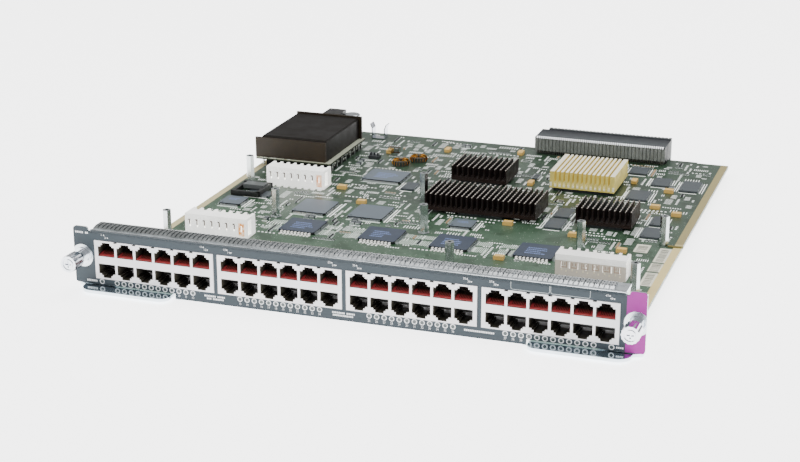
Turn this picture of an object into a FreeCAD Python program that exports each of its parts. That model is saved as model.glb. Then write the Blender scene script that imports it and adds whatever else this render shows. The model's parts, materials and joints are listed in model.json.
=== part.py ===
"""Switch line card: a faceplate of ganged network jacks on a large circuit board.

Millimetres.  +X runs along the faceplate, +Y from the faceplate to the backplane
connector and +Z up.  While it is being built, y = 0 is the faceplate's front and
z = 0 its lowest edge; the finished pieces move back so that the origin is the
centre of the whole card's footprint.
"""
import FreeCAD, Part
import math
import os

V = FreeCAD.Vector

# --- Faceplate -------------------------------------------------------------
PANEL_HEIGHT = 42.5
PANEL_END = 15.92             # faceplate past the row of jack blocks, on average
SHEET = 1.5                   # thickness of the faceplate's metal
BEND_RADIUS = 2.0             # outside radius of both flange bends
TOP_FLANGE_DEPTH = 17.0
TOP_FLANGE_IN = 13.4          # ends of the top flange, in from the faceplate's ends
BOTTOM_FLANGE_DEPTH = 12.0
LEVER_BAY = 74.4              # cut-away end of the faceplate over each lever
FLANGE_SETBACK = 2.5          # end of the bottom flange, in from the full-height middle
LEVER_RELIEF = 4.3            # height that the ends are cut away over the levers
TAB_WIDTH = 10.9              # raised tab at each end
TAB_RISE = 1.6
TAB_RADIUS = 2.0
TAB_NOTCH_WIDTH = 1.6
TAB_NOTCH_DEPTH = 1.2         # below the faceplate's top edge
LABEL_THICKNESS = 0.25        # printed film on the front
LABEL_MARGIN = 0.7            # bare metal left below the film
END_LABEL_WIDTH = 12.4        # coloured film at the right end

# --- Circuit board ---------------------------------------------------------
BOARD_IN = 11.6               # side edges, in from the faceplate's ends
BOARD_LENGTH = 402.0
BOARD_THICKNESS = 2.4
BOARD_TOP = 8.5
BOARD_GAP = 0.4               # between the faceplate's back and the board
BOARD_STEP_WIDTH = 26.0       # rear right corner, cut short
BOARD_STEP_DEPTH = 2.0
SCREW_HOLE = 1.7              # radius of a board hole for an M3 screw

# --- Jack blocks -----------------------------------------------------------
JACK_GROUPS = 4
JACK_ROW_CENTRE = -0.4
JACK_GAP = 2.92               # between neighbouring blocks
JACK_CHEEK = 1.74             # extra width at each end of a block
JACK_DEPTH = 30.0
JACK_PROUD = 0.5              # in front of the faceplate
WINDOW_CLEARANCE = 0.15
PORT_COLUMNS = 6
PORT_PITCH = 13.97
PORT_WIDTH = 12.3
PORT_HEIGHT = 7.0
PORT_DEPTH = 14.5
PORT_BAR = 5.2                # solid bar between the two rows
PORT_ROOF = 1.1               # wall over the upper row's latch notches
PORT_FLOOR = 0.9              # wall under the lower row's
LATCH_STEP_WIDTH = 8.6
LATCH_STEP_DEPTH = 1.2
LATCH_WIDTH = 6.0
LATCH_DEPTH = 2.9
KEY_WIDTH = 2.6               # small notches in the block's top front edge
KEY_HEIGHT = 0.9
KEY_DEPTH = 4.0
CARRIER_CLEARANCE = 0.05      # contact carrier to the port's side walls
CARRIER_FRONT = 1.2           # carrier's front edge behind the block's face
CARRIER_LIP = 0.7
CARRIER_FLOOR = 1.4
CARRIER_RAMP = 8.0
CARRIER_BACK = 1.9            # thickness of the carrier's upright back

# --- Status lights ---------------------------------------------------------
LIGHT_PITCH = 5.1
LIGHTS_PER_GROUP = 12
LIGHT_HEIGHT = 6.4            # centre line above the faceplate's lowest edge
LIGHT_SLOT = 2.4
LIGHT_END = 1.6               # slot past the last light's centre
LIGHT_CLEARANCE = 0.1
STATUS_LIGHT_IN = 19.8        # single lights, in from the faceplate's ends
LINK_LIGHT_IN = 20.7

# --- Gasket ----------------------------------------------------------------
GASKET_BASE = 0.35
GASKET_RISE = 1.3
GASKET_FRONT = 3.2            # gasket's front edge behind the faceplate's front
GASKET_END = 8.0              # bare flange left at the right end
FINGER_PITCH = 3.2
FINGER_GAP = 0.9
FINGER_SLOPE = 3.5

# --- Ejector levers --------------------------------------------------------
LEVER_THICKNESS = 2.0
LEVER_TOP_GAP = 0.4           # lever to the bracket above it
LEVER_REACH = 11.5            # in front of the faceplate
LEVER_END = 7.4               # outer end, in from the faceplate's end
LEVER_INNER_GAP = 2.0         # inner end to the full-height middle
LEVER_BACK = 4.0              # inner end's rear edge behind the faceplate's front
LEVER_OUTER_RADIUS = 9.0
LEVER_INNER_RADIUS = 6.0
PIVOT_IN = 14.9               # pivot in from the faceplate's end
PIVOT_BACK = 8.0
PIVOT_RADIUS = 3.0
PIVOT_CLEARANCE = 0.05
RIVET_HEAD_RADIUS = 5.0
RIVET_HEAD_HEIGHT = 1.0
RIVET_HEAD_GAP = 0.2
LEVER_CORNER = 2.0            # radius of the finger plate's rear corners
HUB_WALL = 6.5                # metal about the pivot's hole
HUB_OUTER = 5.0               # hub's outer and inner shoulders behind the pivot
HUB_INNER = 6.0
HUB_FOOT = 2.0
HUB_CORNER = 4.0
HOOK_REACH = 5.9
HOOK_WIDTH = 5.5
HOOK_SET = 6.0                # hook's front edge in front of the pivot
HOOK_SLOPE = 3.0
HOOK_CORNER = 1.2

# --- Lever brackets --------------------------------------------------------
BRACKET_SHEET = 2.0
BRACKET_WIDTH = 27.0
BRACKET_DEPTH = 44.0
BRACKET_END = 2.0             # outer edge, in from the faceplate's end
BRACKET_EAR_HEIGHT = 13.0
EAR_GAP = 0.5                 # ear to the board's side edge
BRACKET_SCREW_IN = 18.0       # screw in from the bracket's outer edge
BRACKET_SCREW_BACK = 37.0
SCREW_RADIUS = 1.25
SCREW_HEAD_FLATS = 5.0
SCREW_HEAD_HEIGHT = 1.8

# --- Captive screws --------------------------------------------------------
SCREW_IN = 5.9                # axis in from the faceplate's end
SCREW_Z = 23.5
SHANK_RADIUS = 2.0
SHANK_CLEARANCE = 0.05
THREAD_REACH = 8.5            # tip behind the faceplate's front, screw pulled out
KNOB_RADIUS = 5.8
KNOB_FRONT = 19.5             # knob's face in front of the faceplate
KNOB_LENGTH = 11.0
KNOB_FLUTES = 14
KNOB_FLUTE_DEPTH = 0.35
KNOB_CAVITY_DEPTH = 7.0
KNOB_RING_RADIUS = 4.1
KNOB_RING_WIDTH = 0.9
KNOB_RING_DEPTH = 0.8
CROSS_LENGTH = 4.4
CROSS_WIDTH = 0.9
CROSS_DEPTH = 1.2
FERRULE_RADIUS = 4.1
FERRULE_CLEARANCE = 0.3
FERRULE_LENGTH = 10.0
FERRULE_FLANGE_RADIUS = 5.6
FERRULE_FLANGE = 1.2
FERRULE_NOSE_RADIUS = 3.2
FERRULE_BORE = 3.5
CLIP_RADIUS = 3.6
CLIP_THICKNESS = 0.6
CLIP_GAP = 0.05
GROOVE_RADIUS = 1.6
SPRING_RADIUS = 2.75          # middle of the wire
SPRING_WIRE = 0.55
SPRING_TURNS = 5
BARE_RADIUS = 8.0             # round opening in the film about each screw

# --- Standoffs -------------------------------------------------------------
STANDOFF_HEIGHT = 22.0
STANDOFF_FLATS = 5.6
STANDOFF_BORE = 1.25
STANDOFF_BORE_DEPTH = 10.0
COLLAR_FLATS = 8.0
COLLAR_HEIGHT = 0.8

# --- Power headers ---------------------------------------------------------
HEADER_WIDTH = 48.5
HEADER_DEPTH = 15.5
HEADER_HEIGHT = 16.0
HEADER_WAY_COUNT = 8
HEADER_FOOT = 1.2
HEADER_CHANNEL_WIDTH = 4.0
HEADER_CHANNEL_DEPTH = 4.6
HEADER_SLOT_WIDTH = 0.9
HEADER_SLOT_HEIGHT = 4.5
HEADER_SLOT_DEPTH = 1.6
HEADER_END_WALL = 2.4
HEADER_END_HEIGHT = 11.0
BLADE_THICKNESS = 0.8
BLADE_DEPTH = 3.0
BLADE_HEIGHT = 13.0

# --- Power module ----------------------------------------------------------
MODULE_SIDE = 0.3             # module board's edge, in from the main board's left edge
MODULE_BOARD_WIDTH = 65.0
MODULE_BOARD_LENGTH = 81.0
MODULE_BOARD_THICKNESS = 1.6
MODULE_LIFT = 7.0             # module board's underside above the main board
COVER_SIDE = 4.25             # cover's sides and ends, in from the module board's edges
COVER_END = 3.25
COVER_HEIGHT = 17.9
COVER_EDGE = 1.2
END_PLATE = 2.0
PLATE_OVERHANG = 5.0
FRONT_PLATE_DROP = 1.5
REAR_PLATE_RISE = 1.2
MODULE_PIN_COUNT = 7
MODULE_PIN = 1.4
MODULE_PIN_INSET = 2.2

# --- Parts behind the module -----------------------------------------------
CHOKE_WIDTH = 15.0
CHOKE_DEPTH = 17.0
CHOKE_HEIGHT = 26.5
CHOKE_SIDE = 0.5              # right of the module's middle
CHOKE_GAP = 3.5               # behind the module's board
CAPACITOR_GAP = 0.3           # can to choke
CAPACITOR_BACK = 3.5          # can's axis behind the choke's middle
CAPACITOR_RADIUS = 7.0
CAPACITOR_HEIGHT = 24.5
CAPACITOR_BEAD = 0.5
CAPACITOR_BEAD_HEIGHT = 3.0
CAPACITOR_BEAD_RUN = 1.0
CAPACITOR_EDGE = 0.8
CLIP_BRACKET_WIDTH = 12.0
CLIP_BRACKET_DEPTH = 8.0
CLIP_BRACKET_HEIGHT = 13.0
CLIP_BRACKET_SHEET = 0.8
CLIP_EAR_HEIGHT = 9.1         # height where the ears turn outward
CLIP_BRACKET_FLARE = 1.6

# --- Backplane connector ---------------------------------------------------
CONNECTOR_WIDTH = 110.0
CONNECTOR_OVERHANG = 7.1      # wafers past the board's rear edge
CONNECTOR_DEPTH = 26.0
CONNECTOR_HEIGHT = 15.0
CONNECTOR_FOOT = 3.4          # pin bay under the wafers' front edge
CONNECTOR_BAY_DEPTH = 6.0
WAFER_COUNT = 36
WAFER_GROOVE = 0.9
WAFER_GROOVE_DEPTH = 0.8
SHROUD_INSET = 5.5            # left end of the shroud, in from the wafers
SHROUD_DEPTH = 5.0
SHROUD_RISE = 0.6
SHROUD_DROP = 4.0             # below the board's top
SHROUD_TOOTH_COUNT = 34
SHROUD_TOOTH_GAP = 1.5
SHROUD_TOOTH_DEPTH = 1.4
SHROUD_WALL = 1.5
SHROUD_CAVITY = 3.5

# --- Chips -----------------------------------------------------------------
CHIP_LIFT = 0.4               # quad package's underside above the board
CHIP_THICKNESS = 1.6
CHIP_CORNER = 1.0
LEAD_REACH = 1.2
SINK_CHIP_HEIGHT = 2.6
SINK_CHIP_MARGIN = 4.0

LOW_PACK_THICKNESS = 1.4
SINK_BASE = 2.6
TANTALUM_LENGTH = 7.3
TANTALUM_WIDTH = 4.3
TANTALUM_HEIGHT = 2.9
TANTALUM_FOOT = 0.6
TOROID_RADIUS = 6.6
TOROID_BORE = 2.6
TOROID_HEIGHT = 4.0
JUMPER_WIDTH = 9.0
JUMPER_DEPTH = 6.0
JUMPER_HEIGHT = 5.0
JUMPER_POST = 1.2
JUMPER_WAY_COUNT = 3

# --- Worked out from the sizes above ----------------------------------------
JACK_WIDTH = PORT_COLUMNS * PORT_PITCH + 2 * JACK_CHEEK
JACK_GROUP_PITCH = JACK_WIDTH + JACK_GAP
PANEL_WIDTH = JACK_GROUPS * JACK_GROUP_PITCH - JACK_GAP + 2 * PANEL_END
HALF = PANEL_WIDTH / 2
BOTTOM_WIDTH = PANEL_WIDTH - 2 * LEVER_BAY
TOP_FLANGE_END = HALF - TOP_FLANGE_IN
STATUS_LIGHT_X = STATUS_LIGHT_IN - HALF
LINK_LIGHT_X = HALF - LINK_LIGHT_IN
PIVOT_X = HALF - PIVOT_IN
SCREW_X = HALF - SCREW_IN
BOARD_WIDTH = PANEL_WIDTH - 2 * BOARD_IN
BOARD_FRONT = SHEET + BOARD_GAP
BOARD_REAR = BOARD_FRONT + BOARD_LENGTH
BOARD_BOTTOM = BOARD_TOP - BOARD_THICKNESS
BRACKET_BOTTOM = BOARD_BOTTOM - BRACKET_SHEET
LEVER_TOP = BRACKET_BOTTOM - LEVER_TOP_GAP
LEVER_BOTTOM = LEVER_TOP - LEVER_THICKNESS
JACK_FRONT = -JACK_PROUD
PORTS_BACK = JACK_FRONT + PORT_DEPTH
JACK_MID_Z = BOARD_TOP + PORT_FLOOR + LATCH_DEPTH + PORT_HEIGHT + PORT_BAR / 2
JACK_TOP = JACK_MID_Z + PORT_BAR / 2 + PORT_HEIGHT + LATCH_DEPTH + PORT_ROOF
CLIP_GROOVE_END = SHEET + CLIP_THICKNESS + 2 * CLIP_GAP
CONNECTOR_FRONT = BOARD_REAR + CONNECTOR_OVERHANG - CONNECTOR_DEPTH
CONNECTOR_REAR = BOARD_REAR + CONNECTOR_OVERHANG + SHROUD_DEPTH
CARD_MIDDLE_Y = (CONNECTOR_REAR - KNOB_FRONT) / 2


# --- Layout of the board ------------------------------------------------------
def on_board(across, along):
    """Place on the board, from shares of its width off the middle and of its length."""
    return across * BOARD_WIDTH, BOARD_FRONT + along * BOARD_LENGTH


STANDOFFS = (
    on_board(-0.4637, 0.2142), on_board(0.1159, 0.2142), on_board(0.4637, 0.2142),
    on_board(-0.3178, 0.3933), on_board(0.0, 0.3933), on_board(0.3178, 0.3933),
    on_board(-0.4637, 0.5774), on_board(-0.0668, 0.5774), on_board(0.4637, 0.4679),
)
COLLARED = (3, 4)             # standoffs that stand on a plated collar

HEADERS = (
    ("power_header_front_left", *on_board(-0.3778, 0.2677)),
    ("power_header_rear_left", *on_board(-0.3541, 0.5856)),
    ("power_header_front_right", *on_board(0.3718, 0.2739)),
)

# Finned heat sinks: name, centre, width, depth, top above the board, fin pitch,
# fin thickness, end fin thickness.
HEAT_SINKS = (
    ("heat_sink_left_rear", *on_board(0.0117, 0.7490), 45.3, 37.0, 14.0, 4.41, 1.2, 1.2),
    ("heat_sink_long", *on_board(0.0775, 0.5550), 86.2, 38.0, 15.0, 4.05, 1.2, 1.2),
    ("heat_sink_right", *on_board(0.3317, 0.5550), 41.7, 31.0, 15.0, 4.05, 1.2, 1.2),
    ("heat_sink_gold", *on_board(0.2360, 0.7781), 51.4, 50.0, 16.0, 3.55, 1.9, 3.6),
)

# Quad flat packages: centre, width, depth.
QUAD_PACKS = (
    (*on_board(-0.2392, 0.3510), 28.0, 28.0),
    (*on_board(-0.0709, 0.3510), 28.0, 28.0),
    (*on_board(0.0758, 0.3522), 28.0, 28.0),
    (*on_board(0.2425, 0.3547), 28.0, 28.0),
    (*on_board(-0.2619, 0.4629), 27.0, 30.0),
    (*on_board(-0.1399, 0.4654), 27.0, 30.0),
    (*on_board(-0.1953, 0.6930), 32.0, 28.0),
    (*on_board(-0.4392, 0.4480), 17.0, 18.0),
    (*on_board(0.0597, 0.4580), 17.0, 17.0),
)
# Low memory and logic packages: centre, width, depth.
LOW_PACKS = (
    (*on_board(0.2346, 0.5811), 11.5, 21.0),
    (*on_board(0.2346, 0.5164), 12.5, 22.0),
    (*on_board(0.4288, 0.5214), 13.5, 22.0),
    (*on_board(0.4269, 0.5898), 9.0, 20.0),
    (*on_board(0.4484, 0.8211), 14.0, 26.0),
    (*on_board(0.3835, 0.8323), 13.5, 20.0),
    (*on_board(0.3546, 0.7341), 16.0, 24.0),
    (*on_board(0.3211, 0.8958), 14.0, 18.0),
    (*on_board(-0.1227, 0.6470), 10.0, 18.0),
    (*on_board(-0.4092, 0.5077), 20.0, 12.0),
)

# Chip capacitors: centre, and 1 where the long side runs along Y.
TANTALUMS = (
    (*on_board(0.1440, 0.4878), 0), (*on_board(0.1830, 0.3037), 0),
    (*on_board(-0.2586, 0.5958), 0), (*on_board(-0.1830, 0.5192), 0),
    (*on_board(0.2851, 0.4629), 0), (*on_board(0.3944, 0.4082), 0),
    (*on_board(0.3268, 0.8187), 1), (*on_board(0.4105, 0.7764), 0),
    (*on_board(0.4034, 0.6699), 0), (*on_board(0.4542, 0.6371), 0),
    (*on_board(-0.1301, 0.9117), 1), (*on_board(0.0357, 0.9398), 1),
    (*on_board(-0.2540, 0.8649), 1), (*on_board(0.1173, 0.7415), 1),
)
TOROIDS = (on_board(-0.1978, 0.7863), on_board(-0.1691, 0.8236))
JUMPER = on_board(-0.2714, 0.8137)
CLIP_BRACKET = on_board(-0.3178, 0.9629)
CONNECTOR_X, _ = on_board(0.2141, 1.0)
_, MODULE_Y = on_board(0.0, 0.7789)
MODULE_X = MODULE_SIDE + MODULE_BOARD_WIDTH / 2 - BOARD_WIDTH / 2
COVER_WIDTH = MODULE_BOARD_WIDTH - 2 * COVER_SIDE
COVER_LENGTH = MODULE_BOARD_LENGTH - 2 * COVER_END
CHOKE_X = MODULE_X + CHOKE_SIDE
CHOKE_Y = MODULE_Y + (MODULE_BOARD_LENGTH + CHOKE_DEPTH) / 2 + CHOKE_GAP
CAPACITOR_X = CHOKE_X + CHOKE_WIDTH / 2 + CAPACITOR_GAP + CAPACITOR_RADIUS
CAPACITOR_Y = CHOKE_Y + CAPACITOR_BACK


# --- Shapes ------------------------------------------------------------------
def box(x0, x1, y0, y1, z0, z1):
    """Box between two opposite corners."""
    return Part.makeBox(x1 - x0, y1 - y0, z1 - z0, V(x0, y0, z0))


def block(x, y, width, depth, z0, z1):
    """Box centred on x and y."""
    return box(x - width / 2, x + width / 2, y - depth / 2, y + depth / 2, z0, z1)


def cylinder(radius, start, end):
    """Round bar between two points."""
    axis = end - start
    return Part.makeCylinder(radius, axis.Length, start, axis)


def extrude(points, along):
    """Prism from a closed outline of points in space."""
    return Part.Face(Part.makePolygon(points + points[:1])).extrude(along)


def rounded_outline(corners):
    """Closed wire in the XY plane through (x, y, radius) corners."""
    edges = []
    last = None
    first = None
    for i, (x, y, radius) in enumerate(corners):
        here = V(x, y, 0)
        before = V(corners[i - 1][0], corners[i - 1][1], 0)
        after = V(*corners[(i + 1) % len(corners)][:2], 0)
        back = (before - here).normalize()
        ahead = (after - here).normalize()
        half_angle = math.acos(max(-1, min(1, back.dot(ahead)))) / 2
        if radius:
            run = radius / math.tan(half_angle)
            middle = (back + ahead).normalize()
            centre = here + middle * (radius / math.sin(half_angle))
            start = here + back * run
            stop = here + ahead * run
            arc = Part.Arc(start, centre - middle * radius, stop).toShape()
        else:
            start = stop = here
        if last is not None:
            edges.append(Part.makeLine(last, start))
        if radius:
            edges.append(arc)
        first = first or start
        last = stop
    edges.append(Part.makeLine(last, first))
    return Part.Wire(edges)


def rounded_plate(corners, z0, z1):
    """Flat plate with a rounded outline, between two heights."""
    plate = Part.Face(rounded_outline(corners)).extrude(V(0, 0, z1 - z0))
    plate.translate(V(0, 0, z0))
    return plate


def front_plate(corners, y0, y1):
    """Upright plate whose rounded outline is given as (x, z, radius) corners."""
    plate = rounded_plate(corners, -y1, -y0)
    plate.rotate(V(0, 0, 0), V(1, 0, 0), 90)
    return plate


def mirrored(shape):
    """The same piece for the left-hand end."""
    return shape.mirror(V(0, 0, 0), V(1, 0, 0))


def joined(shapes):
    """One solid from pieces that touch or overlap."""
    return shapes[0].multiFuse(shapes[1:]).removeSplitter()


def hexagon(x, y, flats, z0, z1):
    """Upright hexagonal bar, given across its flats."""
    radius = flats / math.sqrt(3)
    turns = [math.radians(60 * i) for i in range(6)]
    corners = [V(x + radius * math.cos(t), y + radius * math.sin(t), z0) for t in turns]
    return extrude(corners, V(0, 0, z1 - z0))


def spaced(count, pitch, middle=0.0):
    """Evenly spaced places about a middle."""
    return [middle + (i - (count - 1) / 2) * pitch for i in range(count)]


def group_centres():
    return spaced(JACK_GROUPS, JACK_GROUP_PITCH, JACK_ROW_CENTRE)


def light_rows():
    """Middle and length of each slot of status lights."""
    row = (LIGHTS_PER_GROUP - 1) * LIGHT_PITCH + 2 * LIGHT_END
    rows = [(x, row) for x in group_centres()]
    rows.append((STATUS_LIGHT_X, 2 * LIGHT_END))
    rows.append((LINK_LIGHT_X, 2 * LIGHT_END))
    return rows


# --- Faceplate and its films --------------------------------------------------
def panel_corners(inset=0.0):
    """Outline of the faceplate's front, as (x, z, radius) corners."""
    tab_top = PANEL_HEIGHT + TAB_RISE
    tab_in = HALF - TAB_WIDTH
    notch_in = tab_in - TAB_NOTCH_WIDTH
    notch = PANEL_HEIGHT - TAB_NOTCH_DEPTH
    middle = BOTTOM_WIDTH / 2
    low = inset
    relief = LEVER_RELIEF
    top = PANEL_HEIGHT - (BEND_RADIUS if inset else 0)
    right = [
        (middle, low, 0),
        (middle, relief, 0),
        (HALF, relief, TAB_RADIUS),
        (HALF, tab_top, TAB_RADIUS),
        (tab_in, tab_top, TAB_RADIUS),
        (tab_in, notch, 0),
        (notch_in, notch, 0),
        (notch_in, top, 0),
    ]
    left = [(-x, z, radius) for x, z, radius in reversed(right)]
    return right + left


def panel_openings(y0, y1, slots):
    """Everything cut through the faceplate or its film."""
    cuts = []
    for x in group_centres():
        width = JACK_WIDTH / 2 + WINDOW_CLEARANCE
        bottom = BOARD_TOP - WINDOW_CLEARANCE
        top = JACK_TOP + WINDOW_CLEARANCE
        cuts.append(box(x - width, x + width, y0, y1, bottom, top))
    for x, length in light_rows() if slots else []:
        low = LIGHT_HEIGHT - LIGHT_SLOT / 2
        cuts.append(box(x - length / 2, x + length / 2, y0, y1, low, low + LIGHT_SLOT))
    return cuts


def flange(width, depth, turn):
    """Rear-bent flange with its bend; turn is 1 at the top edge and -1 at the bottom."""
    edge = PANEL_HEIGHT if turn > 0 else 0.0
    inner = BEND_RADIUS - SHEET
    centre = edge - turn * BEND_RADIUS
    slant = math.sqrt(0.5)

    def at(y, z):
        return V(-width / 2, y, z)

    def bend(radius):
        middle = at(BEND_RADIUS - radius * slant, centre + turn * radius * slant)
        return Part.Arc(
            at(BEND_RADIUS - radius, centre), middle, at(BEND_RADIUS, centre + turn * radius)
        ).toShape()

    outer_end = at(depth, edge)
    inner_end = at(depth, edge - turn * SHEET)
    edges = [
        bend(BEND_RADIUS),
        Part.makeLine(at(BEND_RADIUS, edge), outer_end),
        Part.makeLine(outer_end, inner_end),
        Part.makeLine(inner_end, at(BEND_RADIUS, centre + turn * inner)),
        bend(inner),
        Part.makeLine(at(SHEET, centre), at(0, centre)),
    ]
    return Part.Face(Part.Wire(Part.sortEdges(edges)[0])).extrude(V(width, 0, 0))


def faceplate():
    """Bent sheet-metal front with raised end tabs and two rear flanges."""
    sheet = front_plate(panel_corners(), 0, SHEET)
    bottom_width = BOTTOM_WIDTH - 2 * FLANGE_SETBACK
    edge_cuts = [
        box(-TOP_FLANGE_END, TOP_FLANGE_END, 0, SHEET, PANEL_HEIGHT - BEND_RADIUS, PANEL_HEIGHT),
        box(-bottom_width / 2, bottom_width / 2, 0, SHEET, 0, BEND_RADIUS),
    ]
    sheet = sheet.cut(Part.makeCompound(edge_cuts))
    top = flange(2 * TOP_FLANGE_END, TOP_FLANGE_DEPTH, 1)
    bottom = flange(bottom_width, BOTTOM_FLANGE_DEPTH, -1)
    panel = joined([sheet, top, bottom])
    cuts = panel_openings(-1, SHEET + 1, True)
    for side in (-1, 1):
        at = V(side * SCREW_X, -1, SCREW_Z)
        cuts.append(cylinder(FERRULE_NOSE_RADIUS, at, at + V(0, SHEET + 2, 0)))
    return panel.cut(Part.makeCompound(cuts))


def films():
    """Printed film over the front, and the coloured film at its right end."""
    whole = front_plate(panel_corners(LABEL_MARGIN), -LABEL_THICKNESS, 0)
    cuts = panel_openings(-2, 1, False)
    for side in (-1, 1):
        at = V(side * SCREW_X, -2, SCREW_Z)
        cuts.append(cylinder(BARE_RADIUS, at, at + V(0, 3, 0)))
    whole = whole.cut(Part.makeCompound(cuts))
    split = HALF - END_LABEL_WIDTH
    end = box(split, HALF + 1, -2, 1, -1, PANEL_HEIGHT + TAB_RISE + 1)
    return whole.cut(end), whole.common(end)


def gasket():
    """Strip of spring fingers on the top flange."""
    left = -TOP_FLANGE_END
    right = TOP_FLANGE_END - GASKET_END
    bottom = PANEL_HEIGHT
    shoulder = bottom + GASKET_BASE
    crest = bottom + GASKET_RISE
    back = TOP_FLANGE_DEPTH
    profile = [
        V(left, GASKET_FRONT, bottom), V(left, GASKET_FRONT, shoulder),
        V(left, GASKET_FRONT + FINGER_SLOPE, crest), V(left, back - FINGER_SLOPE, crest),
        V(left, back, shoulder), V(left, back, bottom),
    ]
    strip = extrude(profile, V(right - left, 0, 0))
    count = int((right - left - FINGER_PITCH / 2) / FINGER_PITCH)
    gaps = [
        box(x - FINGER_GAP / 2, x + FINGER_GAP / 2, GASKET_FRONT - 1, back + 1, shoulder, crest + 1)
        for x in spaced(count, FINGER_PITCH, (left + right) / 2)
    ]
    return strip.cut(Part.makeCompound(gaps))


def light_guides():
    """Clear bars that fill the faceplate's slots and reach back to the board's edge."""
    bars = []
    for x, length in light_rows():
        half = length / 2 - LIGHT_CLEARANCE
        low = LIGHT_HEIGHT - LIGHT_SLOT / 2 + LIGHT_CLEARANCE
        high = LIGHT_HEIGHT + LIGHT_SLOT / 2 - LIGHT_CLEARANCE
        bars.append(box(x - half, x + half, 0, BOARD_FRONT, low, high))
    return Part.makeCompound(bars)


# --- Jack blocks ---------------------------------------------------------------
def port_outline(x, side):
    """Plug opening with its stepped latch notch; side is 1 in the upper row, -1 in the lower."""
    near = JACK_MID_Z + side * PORT_BAR / 2
    far = near + side * PORT_HEIGHT
    step = far + side * LATCH_STEP_DEPTH
    notch = far + side * LATCH_DEPTH
    half = [
        (PORT_WIDTH / 2, near), (PORT_WIDTH / 2, far), (LATCH_STEP_WIDTH / 2, far),
        (LATCH_STEP_WIDTH / 2, step), (LATCH_WIDTH / 2, step), (LATCH_WIDTH / 2, notch),
    ]
    points = half + [(-u, z) for u, z in reversed(half)]
    return [V(x + u, JACK_FRONT, z) for u, z in points]


def jack_housing(group_x):
    """Moulded block: its rear half, and before that a frame about each column's two ports."""
    left = group_x - JACK_WIDTH / 2
    right = group_x + JACK_WIDTH / 2
    columns = spaced(PORT_COLUMNS, PORT_PITCH, group_x)
    seams = spaced(PORT_COLUMNS - 1, PORT_PITCH, group_x)
    sides = [left] + seams + [right]
    keys = [
        block(x, JACK_FRONT, KEY_WIDTH, 2 * KEY_DEPTH, JACK_TOP - KEY_HEIGHT, JACK_TOP + 1)
        for x in seams
    ]
    pieces = [box(left, right, PORTS_BACK, JACK_FRONT + JACK_DEPTH, BOARD_TOP, JACK_TOP)]
    for x, start, end in zip(columns, sides, sides[1:]):
        frame = box(start, end, JACK_FRONT, PORTS_BACK, BOARD_TOP, JACK_TOP)
        ports = [extrude(port_outline(x, side), V(0, PORT_DEPTH, 0)) for side in (1, -1)]
        pieces.append(frame.cut(Part.makeCompound(ports + keys)))
    return Part.makeCompound(pieces)


def contact_carriers(group_x):
    """Carriers in the ports: a ramped floor against the middle bar and an upright back."""
    carriers = []
    width = PORT_WIDTH - 2 * CARRIER_CLEARANCE
    front = JACK_FRONT + CARRIER_FRONT
    upright = PORTS_BACK - CARRIER_BACK
    ramp = [
        (front, 0), (front, CARRIER_LIP), (front + CARRIER_RAMP, CARRIER_FLOOR),
        (upright, CARRIER_FLOOR), (upright, 0),
    ]
    wall = [(upright, 0), (upright, PORT_HEIGHT), (PORTS_BACK, PORT_HEIGHT), (PORTS_BACK, 0)]
    for x in spaced(PORT_COLUMNS, PORT_PITCH, group_x):
        for side in (1, -1):
            floor = JACK_MID_Z + side * PORT_BAR / 2
            for profile in (ramp, wall):
                points = [V(x - width / 2, y, floor + side * z) for y, z in profile]
                carriers.append(extrude(points, V(width, 0, 0)))
    return Part.makeCompound(carriers)


# --- Circuit board ---------------------------------------------------------------
def bracket_screw_x():
    """Distance of each bracket's screw from the card's middle."""
    return HALF - BRACKET_END - BRACKET_SCREW_IN


def circuit_board():
    """Main board, with its rear right corner cut short and a hole for each bracket's screw."""
    half = BOARD_WIDTH / 2
    step_x = half - BOARD_STEP_WIDTH
    step_y = BOARD_REAR - BOARD_STEP_DEPTH
    corners = [
        (-half, BOARD_FRONT, 0), (half, BOARD_FRONT, 0), (half, step_y, 0),
        (step_x, step_y, 0), (step_x, BOARD_REAR, 0), (-half, BOARD_REAR, 0),
    ]
    board = rounded_plate(corners, BOARD_BOTTOM, BOARD_TOP)
    for x in (-bracket_screw_x(), bracket_screw_x()):
        hole = V(x, BRACKET_SCREW_BACK, BOARD_BOTTOM - 1)
        board = board.cut(cylinder(SCREW_HOLE, hole, hole + V(0, 0, BOARD_THICKNESS + 2)))
    return board


def standoffs():
    """Hexagonal spacers, tapped at the top, and the plated collars that two of them stand on."""
    spacers = []
    collars = []
    top = BOARD_TOP + STANDOFF_HEIGHT
    for i, (x, y) in enumerate(STANDOFFS):
        foot = BOARD_TOP + (COLLAR_HEIGHT if i in COLLARED else 0)
        bore = cylinder(STANDOFF_BORE, V(x, y, top - STANDOFF_BORE_DEPTH), V(x, y, top + 1))
        spacers.append(hexagon(x, y, STANDOFF_FLATS, foot, top).cut(bore))
        if i in COLLARED:
            collars.append(hexagon(x, y, COLLAR_FLATS, BOARD_TOP, foot))
    return Part.makeCompound(spacers), Part.makeCompound(collars)


def bracket_screws():
    """Hexagon-head screws down through the board into both brackets."""
    screws = []
    for x in (-bracket_screw_x(), bracket_screw_x()):
        head_top = BOARD_TOP + SCREW_HEAD_HEIGHT
        head = hexagon(x, BRACKET_SCREW_BACK, SCREW_HEAD_FLATS, BOARD_TOP, head_top)
        seat = V(x, BRACKET_SCREW_BACK, BOARD_TOP)
        screws.append(joined([head, cylinder(SCREW_RADIUS, seat, V(seat.x, seat.y, BRACKET_BOTTOM))]))
    return Part.makeCompound(screws)


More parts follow.
